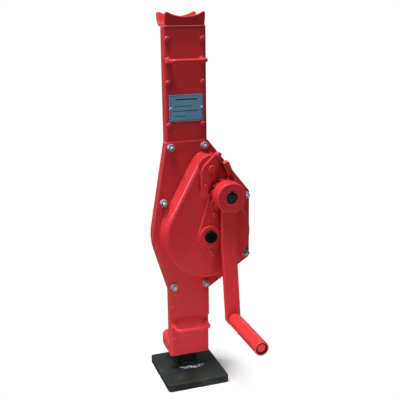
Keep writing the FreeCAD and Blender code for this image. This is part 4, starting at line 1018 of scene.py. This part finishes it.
@dataclass
class Foot:
    """The ground plate, the rack that stands on it, the weld between them and the dabs in front.

    Attributes:
        wardrobe: Finishes and pieces.
        root_radius: Radius of the weld's first pass, in the corner of rack and plate.
        root_corner: Radius at which that pass goes round the rack's corners.
        root_rise: Height of its middle over the plate.
        cap_out: How far outside the rack the second pass runs.
        cap_radius: Radius of the second pass.
        cap_pitch: Length of its ripples.
        dab_radius: Radius of a dab.
        dab_length: Length of a dab.
        dab_pitch: Length of its ripples.
        dab_swell: How much a ripple shrinks over its length, as a share.
        dab_sunk: Depth of its middle in the plate.
        dabs: Where the dabs lie.
        spatter_count: Number of drops.
        spatter_radius: Radius of the largest drop.
        spatter_least: Size of the smallest drop against that.
        spatter_flat: Height of a drop against its width.
        spatter_reach: How far the drops lie from the jack's origin, sideways.
        spatter_depth: How far they lie from it to the front and back, against that.
    """

    GOLDEN_TURN = math.pi * (3.0 - math.sqrt(5.0))

    wardrobe: Wardrobe
    root_radius: float = 4.2 * MM
    root_corner: float = 3.0 * MM
    root_rise: float = 0.5 * MM
    cap_out: float = 4.6 * MM
    cap_radius: float = 3.0 * MM
    cap_pitch: float = 2.3 * MM
    dab_radius: float = 2.4 * MM
    dab_length: float = 17.0 * MM
    dab_pitch: float = 2.2 * MM
    dab_swell: float = 0.25
    dab_sunk: float = 0.8 * MM
    dabs: tuple[Dab, ...] = (
        Dab(-15.0 * MM, 1.0 * MM, -14.0),
        Dab(-7.0 * MM, -4.0 * MM, 12.0),
        Dab(1.0 * MM, 0.5 * MM, -6.0),
        Dab(6.0 * MM, -5.5 * MM, -16.0),
        Dab(13.0 * MM, 0.0 * MM, 10.0),
        Dab(19.0 * MM, -4.5 * MM, 18.0),
        Dab(24.0 * MM, 1.0 * MM, -8.0),
    )
    spatter_count: int = 26
    spatter_radius: float = 0.75 * MM
    spatter_least: float = 0.5
    spatter_flat: float = 0.6
    spatter_reach: float = 34.0 * MM
    spatter_depth: float = 0.5

    def build(self) -> None:
        """Dresses the plate and rack, and lays the foot weld and the dabs in front of it."""
        self.wardrobe.dress(Look.PLATE_STEEL, ("base_plate",))
        self.wardrobe.dress(Look.RACK_STEEL, ("rack",))
        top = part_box("base_plate")[1].z
        self.weld_rack(top)
        self.lay_dabs(top)

    def weld_rack(self, top: float) -> None:
        """Welds the rack to the plate: a root pass in the corner and a cap pass outside it.

        Args:
            top: Height of the plate's upper face.
        """
        low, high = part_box("rack")
        shape = bmesh.new()
        root_path = rounded_loop(low, high, self.root_corner, top + self.root_rise)
        WeldBead(self.root_radius).lay(shape, root_path)
        out = Vector((self.cap_out, self.cap_out, 0.0))
        cap_path = rounded_loop(low - out, high + out, self.root_corner + self.cap_out, top)
        WeldBead(self.cap_radius, pitch=self.cap_pitch).lay(shape, cap_path)
        self.wardrobe.add("foot_weld_bead", shape, Look.DULL_WELD, Body.FOOT, ("foot_weld",))

    def lay_dabs(self, top: float) -> None:
        """Lays short bright dabs of fresh weld on the plate in front of the rack, with spatter round them.

        Args:
            top: Height of the plate's upper face.
        """
        shape = bmesh.new()
        bead = WeldBead(self.dab_radius, pitch=self.dab_pitch, swell=self.dab_swell)
        for dab in self.dabs:
            middle = Vector((dab.x, dab.y, top - self.dab_sunk))
            turn = Matrix.Rotation(math.radians(dab.turn), 3, "Z")
            half = turn @ Vector((self.dab_length / 2, 0.0, 0.0))
            bead.lay(shape, [middle - half, middle + half])
        self.drop_spatter(shape, top)
        self.wardrobe.add("foot_weld_dabs", shape, Look.BRIGHT_WELD, Body.FOOT)

    def drop_spatter(self, shape: bmesh.types.BMesh, top: float) -> None:
        """Drops spatter on the plate, in a spiral with a golden turn from each drop to the next.

        Args:
            shape: Shape to add to.
            top: Height of the plate's upper face.
        """
        flat = Matrix.Diagonal((1.0, 1.0, self.spatter_flat, 1.0))
        for index in range(1, self.spatter_count + 1):
            reach = self.spatter_reach * math.sqrt(index / self.spatter_count)
            angle = index * self.GOLDEN_TURN
            drop = Vector((reach * math.cos(angle), self.spatter_depth * reach * math.sin(angle), top))
            share = self.spatter_least + (1.0 - self.spatter_least) * (angle % 1.0)
            place = Matrix.Translation(drop) @ flat
            bmesh.ops.create_icosphere(
                shape, subdivisions=2, radius=self.spatter_radius * share, matrix=place
            )


@dataclass(frozen=True)
class Rule:
    """A plain bar of ink: its level, start and end as shares of the room, and its thickness."""

    level: float
    start: float
    end: float
    thickness: float


@dataclass
class Column:
    """The pressed column with its head, claw, handles, rivets and wordless nameplate.

    Attributes:
        wardrobe: Finishes and pieces.
        painted: Nodes in gloss paint.
        rod_radius: Radius of a handle's rod.
        handle_half: Distance of a handle's feet from the middle of the column.
        ring_radius: Radius of the bead round a handle's foot.
        ring_out: How far outside the rod that bead runs.
        seam_radius: Radius of the bead under the head.
        claw_seam_radius: Radius of the beads round the claw.
        rule_height: How far the ink stands out of the nameplate.
        rule_sunk: How far it reaches into it.
        frame_inset: Distance of the inked frame from the nameplate's edge.
        frame_width: Width of that frame.
        pin_room: Room left inside the frame for the pins, on each side.
        rules: The bars of ink.
    """

    wardrobe: Wardrobe
    painted: tuple[str, ...] = (
        "back_plate", "upper_channel", "lower_channel", "lower_front_sheet", "rear_channel", "head_saddle",
        "toe_claw", "upper_handle", "lower_handle", "column_rivets", "lower_rivets", "sheet_rivet",
    )
    rod_radius: float = 4.0 * MM
    handle_half: float = 33.0 * MM
    ring_radius: float = 2.0 * MM
    ring_out: float = 0.6 * MM
    seam_radius: float = 1.2 * MM
    claw_seam_radius: float = 2.6 * MM
    rule_height: float = 0.12 * MM
    rule_sunk: float = 0.1 * MM
    frame_inset: float = 1.6 * MM
    frame_width: float = 0.5 * MM
    pin_room: float = 5.0 * MM
    rules: tuple[Rule, ...] = (
        Rule(0.82, 0.10, 0.90, 2.2 * MM),
        Rule(0.56, 0.06, 0.72, 1.1 * MM),
        Rule(0.37, 0.00, 0.96, 1.3 * MM),
        Rule(0.17, 0.04, 0.46, 1.1 * MM),
    )

    def build(self) -> None:
        """Dresses the column, welds its handles, head and claw on, and inks the nameplate."""
        self.wardrobe.dress(Look.RED_PAINT, self.painted)
        self.wardrobe.dress(Look.NAMEPLATE, ("nameplate",))
        self.wardrobe.dress(Look.BRIGHT_ZINC, ("nameplate_pins",))
        for handle, sheet in (("upper_handle", "upper_channel"), ("lower_handle", "lower_channel")):
            self.weld_handle(handle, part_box(sheet)[0].y)
        self.weld_head()
        self.weld_claw()
        self.ink_nameplate()

    def weld_handle(self, handle: str, face: float) -> None:
        """Lays a painted ring of weld round each foot of a handle.

        Args:
            handle: The handle's node.
            face: Y of the sheet that it stands on.
        """
        low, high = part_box(handle)
        bead = WeldBead(self.ring_radius, sides=SLIM_SIDES)
        shape = bmesh.new()
        for side in (-1.0, 1.0):
            centre = Vector((side * self.handle_half, face, (low.z + high.z) / 2))
            bead.lay(shape, upright_ring(centre, self.rod_radius + self.ring_out))
        self.wardrobe.add(f"{handle}_welds", shape, Look.RED_PAINT, Body.STOCK)

    def weld_head(self) -> None:
        """Lays the painted weld that joins the head to the column's top edge."""
        low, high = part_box("head_saddle")
        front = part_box("upper_channel")[0].y
        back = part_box("back_plate")[1].y
        path = [
            Vector((low.x, back, low.z)),
            Vector((low.x, front, low.z)),
            Vector((high.x, front, low.z)),
            Vector((high.x, back, low.z)),
        ]
        shape = bmesh.new()
        WeldBead(self.seam_radius, sides=SLIM_SIDES).lay(shape, path)
        self.wardrobe.add("head_weld", shape, Look.RED_PAINT, Body.STOCK)

    def weld_claw(self) -> None:
        """Lays the painted welds between the claw and the back plate, beside the guide channel."""
        low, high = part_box("toe_claw")
        guide_low, guide_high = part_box("rear_channel")
        bead = WeldBead(self.claw_seam_radius, sides=SLIM_SIDES)
        shape = bmesh.new()
        for outer, inner in ((low.x, guide_low.x), (high.x, guide_high.x)):
            path = [
                Vector((outer, low.y, low.z + 2 * self.claw_seam_radius)),
                Vector((outer, low.y, high.z)),
                Vector((inner, low.y, high.z)),
            ]
            bead.lay(shape, path)
        self.wardrobe.add("claw_welds", shape, Look.RED_PAINT, Body.STOCK)

    def ink_nameplate(self) -> None:
        """Prints a plain frame and plain bars of ink, without any words, on the nameplate."""
        low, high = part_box("nameplate")
        left, right = low.x + self.frame_inset, high.x - self.frame_inset
        floor, roof = low.z + self.frame_inset, high.z - self.frame_inset
        width = self.frame_width
        bars = [
            (left, floor, right, floor + width),
            (left, roof - width, right, roof),
            (left, floor, left + width, roof),
            (right - width, floor, right, roof),
        ]
        origin = left + self.pin_room
        room = right - left - 2 * self.pin_room
        for rule in self.rules:
            base = floor + rule.level * (roof - floor)
            bars.append((origin + rule.start * room, base, origin + rule.end * room, base + rule.thickness))
        front, back = low.y - self.rule_height, low.y + self.rule_sunk
        shape = bmesh.new()
        for x0, z0, x1, z1 in bars:
            bar(shape, Vector((x0, front, z0)), Vector((x1, back, z1)))
        self.wardrobe.add("nameplate_rules", shape, Look.PLATE_INK, Body.STOCK, smooth=False)


@dataclass
class GearCase:
    """The pressed gear cover, its walls, bearing plate, fasteners and bushes.

    Attributes:
        wardrobe: Finishes and pieces.
        painted: Nodes in gloss paint.
        bushes: Nodes in bronze.
        thread_radius: Radius at which a bolt's thread runs.
        thread_pitch: Its pitch.
        thread_depth: How far it stands out and reaches in.
        thread_sides: Sides of its section.
        thread_steps: Straight pieces in one turn of it.
        point_radius: Radius of the dome on a bolt's end.
        point_height: Height of that dome.
    """

    wardrobe: Wardrobe
    painted: tuple[str, ...] = (
        "left_gearbox_wall", "right_gearbox_wall", "gear_cover", "bearing_plate", "bearing_plate_rivets",
        "pinion_housing", "stop_lug", "pawl_pin", "front_gear_bush",
    )
    bushes: tuple[str, ...] = ("rear_gear_bush", "front_crank_bush", "rear_crank_bush")
    thread_radius: float = 4.0 * MM
    thread_pitch: float = 1.25 * MM
    thread_depth: float = 0.45 * MM
    thread_sides: int = 4
    thread_steps: int = 16
    point_radius: float = 3.7 * MM
    point_height: float = 1.9 * MM

    def build(self) -> None:
        """Dresses the gear case, and adds the threads and round points of its bolts."""
        self.wardrobe.dress(Look.RED_PAINT, self.painted)
        self.wardrobe.dress(Look.BRIGHT_ZINC, ("cover_bolts", "cover_washers"))
        self.wardrobe.dress(Look.DULL_ZINC, ("cover_nuts", "housing_screws"))
        self.wardrobe.dress(Look.MACHINED_STEEL, ("bolt_spacers",))
        self.wardrobe.dress(Look.SHAFT_END, ("pawl_spring",))
        self.wardrobe.dress(Look.BRONZE, self.bushes)
        nuts = self.wardrobe.solids("cover_nuts")
        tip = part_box("cover_bolts")[0].y
        self.thread_bolts(nuts, tip)
        self.round_points(nuts, tip)

    def thread_bolts(self, nuts: Sequence[tuple[Vector, Vector]], tip: float) -> None:
        """Winds a thread round the end of each cover bolt, in front of its nut.

        Args:
            nuts: Lowest and highest corner of each nut.
            tip: Y of the bolts' front ends.
        """
        shape = bmesh.new()
        last = tip + self.thread_pitch / 2
        for low, high in nuts:
            axis = (low + high) / 2
            steps = int((low.y - last) / self.thread_pitch * self.thread_steps)
            stations = []
            for step in range(steps + 1):
                angle = 2 * math.pi * step / self.thread_steps
                out = Vector((math.cos(angle), 0.0, math.sin(angle)))
                along = Vector((-math.sin(angle), 0.0, math.cos(angle)))
                point = Vector((axis.x, low.y - self.thread_pitch * step / self.thread_steps, axis.z))
                stations.append(ring_at(point + self.thread_radius * out, along))
            sweep_tube(shape, self.thread_depth, self.thread_sides, stations)
        self.wardrobe.add("cover_bolt_threads", shape, Look.DARK_ZINC, Body.STOCK, smooth=False)

    def round_points(self, nuts: Sequence[tuple[Vector, Vector]], tip: float) -> None:
        """Rounds off the end of each cover bolt with a low dome.

        Args:
            nuts: Lowest and highest corner of each nut.
            tip: Y of the bolts' front ends.
        """
        shape = bmesh.new()
        flat = Matrix.Diagonal((1.0, self.point_height / self.point_radius, 1.0, 1.0))
        for low, high in nuts:
            axis = (low + high) / 2
            place = Matrix.Translation((axis.x, tip, axis.z)) @ flat
            bmesh.ops.create_icosphere(shape, subdivisions=3, radius=self.point_radius, matrix=place)
        self.wardrobe.add("cover_bolt_points", shape, Look.BRIGHT_ZINC, Body.STOCK)


@dataclass
class Drive:
    """The gear shaft, the crank with its grip, and the ratchet pawl.

    Attributes:
        wardrobe: Finishes and pieces.
        painted: Nodes in gloss paint.
        rubbed: Nodes whose paint is rubbed at the edges.
        grease_and_shade: Nodes whose paint is dark, partly as grease and partly as painted shade of the hub's
            recess.
        machined: Nodes of oiled steel.
        shaft_ends: Nodes of dark steel.
        blackened: Nodes of black steel.
        arm_front: Y of the arm's front face at the hub.
        hub_weld_radius: Radius of the bead between arm and hub.
        hub_weld_points: Points of its path.
        key_half_width: Half the width of the key.
        key_low: Height of its lower side over the crank shaft's axis.
        key_high: Height of its upper side over that axis.
        key_stand: How far its end stands out of the hub.
        key_sunk: How far it reaches into the hub.
        stop_ring_width: Width of the ring on the grip's end.
        stop_ring_height: How far that ring stands out.
        seam_from_arm: Distance of the grip's seam from its end at the arm.
        seam_radius: Radius of the seam's ridge.
        seam_sides: Sides of its section.
        round_steps: Straight pieces in the stop ring and in the seam.
    """

    wardrobe: Wardrobe
    painted: tuple[str, ...] = ("crank_hub", "crank_arm", "grip_sleeve", "grip_spindle", "pawl_knob")
    rubbed: tuple[str, ...] = ("ratchet_wheel", "pawl")
    # The hub ring is darkened: partly grease, partly painted shade of its recess.
    grease_and_shade: tuple[str, ...] = ("hub_ring",)
    machined: tuple[str, ...] = ("gear_shaft", "drive_gear")
    shaft_ends: tuple[str, ...] = ("crank_shaft",)
    blackened: tuple[str, ...] = ("shaft_cap", "crank_key")
    arm_front: float = -63.0 * MM
    hub_weld_radius: float = 2.0 * MM
    hub_weld_points: int = 9
    key_half_width: float = 2.9 * MM
    key_low: float = 7.0 * MM
    key_high: float = 13.5 * MM
    key_stand: float = 0.5 * MM
    key_sunk: float = 4.0 * MM
    stop_ring_width: float = 2.0 * MM
    stop_ring_height: float = 1.6 * MM
    seam_from_arm: float = 44.0 * MM
    seam_radius: float = 0.55 * MM
    seam_sides: int = 8
    round_steps: int = 48

    def build(self) -> None:
        """Dresses what turns, welds the arm to its hub, and adds the key's end, stop ring and grip seam."""
        self.wardrobe.dress(Look.RED_PAINT, self.painted)
        self.wardrobe.dress(Look.RUBBED_PAINT, self.rubbed)
        self.wardrobe.dress(Look.GREASE_AND_SHADE_PAINT, self.grease_and_shade)
        self.wardrobe.dress(Look.MACHINED_STEEL, self.machined)
        self.wardrobe.dress(Look.SHAFT_END, self.shaft_ends)
        self.wardrobe.dress(Look.BLACK_STEEL, self.blackened)
        self.weld_arm()
        self.seat_key()
        self.seat_stop_ring()
        self.roll_grip_seam()

    def weld_arm(self) -> None:
        """Lays the painted weld along the front of the arm where it meets the round hub."""
        hub_low, hub_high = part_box("crank_hub")
        arm_low, arm_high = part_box("crank_arm")
        axis = (hub_low + hub_high) / 2
        radius = (hub_high.x - hub_low.x) / 2
        path = []
        for step in range(self.hub_weld_points):
            x = arm_low.x + (arm_high.x - arm_low.x) * step / (self.hub_weld_points - 1)
            path.append(Vector((x, self.arm_front, axis.z - math.sqrt(radius**2 - (x - axis.x) ** 2))))
        shape = bmesh.new()
        WeldBead(self.hub_weld_radius, sides=SLIM_SIDES).lay(shape, path)
        self.wardrobe.add("hub_weld", shape, Look.RED_PAINT, Body.CRANK)

    def seat_key(self) -> None:
        """Seats the dark end of the key above the crank shaft, in the front of the hub."""
        low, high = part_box("crank_hub")
        axis = (low + high) / 2
        shape = bmesh.new()
        bar(
            shape,
            Vector((axis.x - self.key_half_width, low.y - self.key_stand, axis.z + self.key_low)),
            Vector((axis.x + self.key_half_width, low.y + self.key_sunk, axis.z + self.key_high)),
        )
        self.wardrobe.add("hub_key_end", shape, Look.BLACK_STEEL, Body.CRANK, smooth=False)

    def seat_stop_ring(self) -> None:
        """Seats a dark retaining ring on the end of the grip's spindle."""
        low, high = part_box("grip_spindle")
        middle = (low + high) / 2
        outer = (high.x - low.x) / 2
        shape = bmesh.new()
        rim = bmesh.ops.create_circle(shape, cap_ends=True, segments=self.round_steps, radius=outer)["verts"]
        face = rim[0].link_faces[0]
        bmesh.ops.inset_region(
            shape, faces=[face], thickness=self.stop_ring_width, use_boundary=True, use_even_offset=True
        )
        bmesh.ops.delete(shape, geom=[face], context="FACES")
        grown = bmesh.ops.extrude_face_region(shape, geom=shape.faces[:])["geom"]
        raised = [part for part in grown if isinstance(part, bmesh.types.BMVert)]
        bmesh.ops.translate(shape, verts=raised, vec=(0.0, 0.0, self.stop_ring_height))
        place = ring_at(Vector((middle.x, low.y, middle.z)), Vector((0.0, -1.0, 0.0)))
        bmesh.ops.transform(shape, matrix=place, verts=shape.verts[:])
        self.wardrobe.add("grip_stop_ring", shape, Look.BLACK_STEEL, Body.CRANK, smooth=False)

    def roll_grip_seam(self) -> None:
        """Rolls a low painted ridge round the grip where its two lengths of tube meet."""
        low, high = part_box("grip_sleeve")
        middle = (low + high) / 2
        centre = Vector((middle.x, high.y - self.seam_from_arm, middle.z))
        path = upright_ring(centre, (high.x - low.x) / 2, self.round_steps)
        stations = [ring_at(point, after - point) for point, after in zip(path, path[1:])]
        shape = bmesh.new()
        sweep_tube(shape, self.seam_radius, self.seam_sides, stations)
        self.wardrobe.add("grip_seam", shape, Look.RED_PAINT, Body.GRIP)


@dataclass(frozen=True)
class Lamp:
    """A soft square lamp.

    Attributes:
        name: Name of the lamp.
        place: Where it hangs.
        size: Side of the square.
        power: Watts.
        target: What it faces.
        mirrored: Whether glossy surfaces show it.
    """

    name: str
    place: Triple
    size: float
    power: float
    target: Triple = (0.03, 0.0, 0.36)
    mirrored: bool = True

    def hang(self) -> None:
        """Hangs the lamp in the scene, unseen by the camera."""
        data = bpy.data.lights.new(self.name, "AREA")
        data.shape = "SQUARE"
        data.size = self.size
        data.energy = self.power
        lamp = bpy.data.objects.new(self.name, data)
        lamp.visible_camera = False
        lamp.visible_glossy = self.mirrored
        facing = (Vector(self.target) - Vector(self.place)).to_track_quat("-Z", "Y")
        lamp.matrix_world = Matrix.Translation(self.place) @ facing.to_matrix().to_4x4()
        bpy.context.scene.collection.objects.link(lamp)


@dataclass
class Studio:
    """Pale floor, white surround, soft lamps and the camera.

    Attributes:
        eye: Where the camera stands.
        yaw: Its turn to the right.
        pitch: Its tilt down.
        roll: Its roll.
        photo_focal: Focal length in pixels of the photograph.
        photo_width: Width of the photograph in pixels.
        sensor: Width of the camera's sensor in millimetres.
        nearest: Nearest distance that the camera sees.
        floor_half: Half the floor's side.
        floor_white: Shade of the floor near the object.
        floor_dim: Shade of the floor far from it, so that it throws little light back.
        dim_span: Distances from the object between which that shade changes.
        fade_span: Distances between which the floor as the camera sees it fades to plain white.
        floor_roughness: Roughness of the floor.
        floor_shine: Strength of its reflection.
        floor_mirror: How white glossy surfaces show the floor.
        mirror_white: How white glossy surfaces show the surround.
        ambient: Even light from the surround.
        lamps: The lamps.
    """

    eye: Triple = (-0.3957, -1.2545, 0.7258)
    yaw: float = math.radians(18.61)
    pitch: float = math.radians(15.04)
    roll: float = math.radians(0.77)
    photo_focal: float = 701.6
    photo_width: float = 400.0
    sensor: float = 36.0
    nearest: float = 0.01
    floor_half: float = 30.0
    floor_white: float = 0.92
    floor_dim: float = 0.1
    dim_span: Span = (0.22, 0.55)
    fade_span: Span = (0.055, 0.14)
    floor_roughness: float = 0.9
    floor_shine: float = 0.1
    floor_mirror: float = 0.12
    mirror_white: float = 0.36
    ambient: float = 0.08
    lamps: tuple[Lamp, ...] = (
        Lamp("key_lamp", (-0.95, -0.36, 4.7), size=1.6, power=255.0),
        Lamp("left_lamp", (-1.9, -0.3, 1.35), size=0.75, power=14.5),
        Lamp(
            "low_lamp", (0.08, -0.38, 0.02), size=0.25, power=0.62, target=(0.06, -0.03, 0.12), mirrored=False
        ),
        Lamp("back_lamp", (0.9, 2.6, 1.6), size=1.4, power=6.0, mirrored=False),
    )

    def build(self) -> None:
        """Sets up the view, the floor, the surround and the lamps."""
        bpy.context.scene.view_settings.view_transform = "Standard"
        self.set_camera()
        self.lay_floor()
        self.set_world()
        for lamp in self.lamps:
            lamp.hang()

    def set_camera(self) -> None:
        """Places the camera at the photograph's viewing angle."""
        forward = Vector((
            math.sin(self.yaw) * math.cos(self.pitch),
            math.cos(self.yaw) * math.cos(self.pitch),
            -math.sin(self.pitch),
        ))
        level = Vector((math.cos(self.yaw), -math.sin(self.yaw), 0.0))
        down = forward.cross(level)
        right = math.cos(self.roll) * level + math.sin(self.roll) * down
        up = math.sin(self.roll) * level - math.cos(self.roll) * down
        data = bpy.data.cameras.new("camera")
        data.lens = self.photo_focal / self.photo_width * self.sensor
        data.sensor_width = self.sensor
        data.clip_start = self.nearest
        camera = bpy.data.objects.new("camera", data)
        axes = Matrix((right, up, -forward)).transposed().to_4x4()
        camera.matrix_world = Matrix.Translation(self.eye) @ axes
        bpy.context.scene.collection.objects.link(camera)
        bpy.context.scene.camera = camera

    @staticmethod
    def shown_rays(sheet: NodeSheet) -> tuple[Socket, Socket]:
        """How the background is seen.

        Args:
            sheet: Node sheet to add to.

        Returns:
            Whether it is seen straight or through glass, and whether in a glossy surface.
        """
        path = sheet.add("ShaderNodeLightPath")
        straight = sheet.math("MAXIMUM", path.outputs["Is Camera Ray"], path.outputs["Is Transmission Ray"])
        return straight, path.outputs["Is Glossy Ray"]

    def lay_floor(self) -> None:
        """Lays a pale floor that keeps the shadow near the object and is plain white further off."""
        surface = Surface("pale_floor")
        far = surface.add("ShaderNodeVectorMath", operation="LENGTH")
        surface.put(far.inputs[0], surface.place)
        reach = far.outputs["Value"]
        surface.give("Base Color", surface.step(reach, *self.dim_span, self.floor_white, self.floor_dim))
        surface.give("Roughness", self.floor_roughness)
        surface.give("Specular IOR Level", self.floor_shine)
        straight, mirrored = self.shown_rays(surface)
        faded = surface.math("MULTIPLY", surface.step(reach, *self.fade_span), straight)
        glow = surface.add("ShaderNodeEmission")
        surface.put(glow.inputs["Strength"], surface.math("MAXIMUM", straight, self.floor_mirror))
        blend = surface.add("ShaderNodeMixShader")
        surface.put(blend.inputs[0], surface.math("MAXIMUM", faded, mirrored))
        surface.put(blend.inputs[1], surface.shader.outputs["BSDF"])
        surface.put(blend.inputs[2], glow.outputs["Emission"])
        surface.put(surface.tree.nodes["Material Output"].inputs["Surface"], blend.outputs["Shader"])
        shape = bmesh.new()
        bmesh.ops.create_grid(shape, x_segments=1, y_segments=1, size=self.floor_half)
        make_object("floor", shape, surface.material)

    def set_world(self) -> None:
        """Makes a white surround to look at, and a plain even light from it."""
        world = bpy.data.worlds.new("studio")
        bpy.context.scene.world = world
        world.use_nodes = True
        sheet = NodeSheet(world.node_tree)
        back = world.node_tree.nodes["Background"]
        sheet.put(back.inputs["Color"], (1.0, 1.0, 1.0))
        straight, mirrored = self.shown_rays(sheet)
        white = sheet.math("MAXIMUM", straight, sheet.math("MULTIPLY", mirrored, self.mirror_white))
        sheet.put(back.inputs["Strength"], sheet.math("MAXIMUM", white, self.ambient))


def main() -> None:
    """Loads the frame, dresses every sub-assembly and sets up the studio."""
    logging.basicConfig(level=logging.INFO, format="%(name)s: %(message)s")
    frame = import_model()
    wardrobe = Wardrobe(frame["nodes"])
    for assembly in (Foot(wardrobe), Column(wardrobe), GearCase(wardrobe), Drive(wardrobe)):
        assembly.build()
        LOG.info("%s done", type(assembly).__name__)
    Studio().build()


if __name__ == "__main__":
    main()
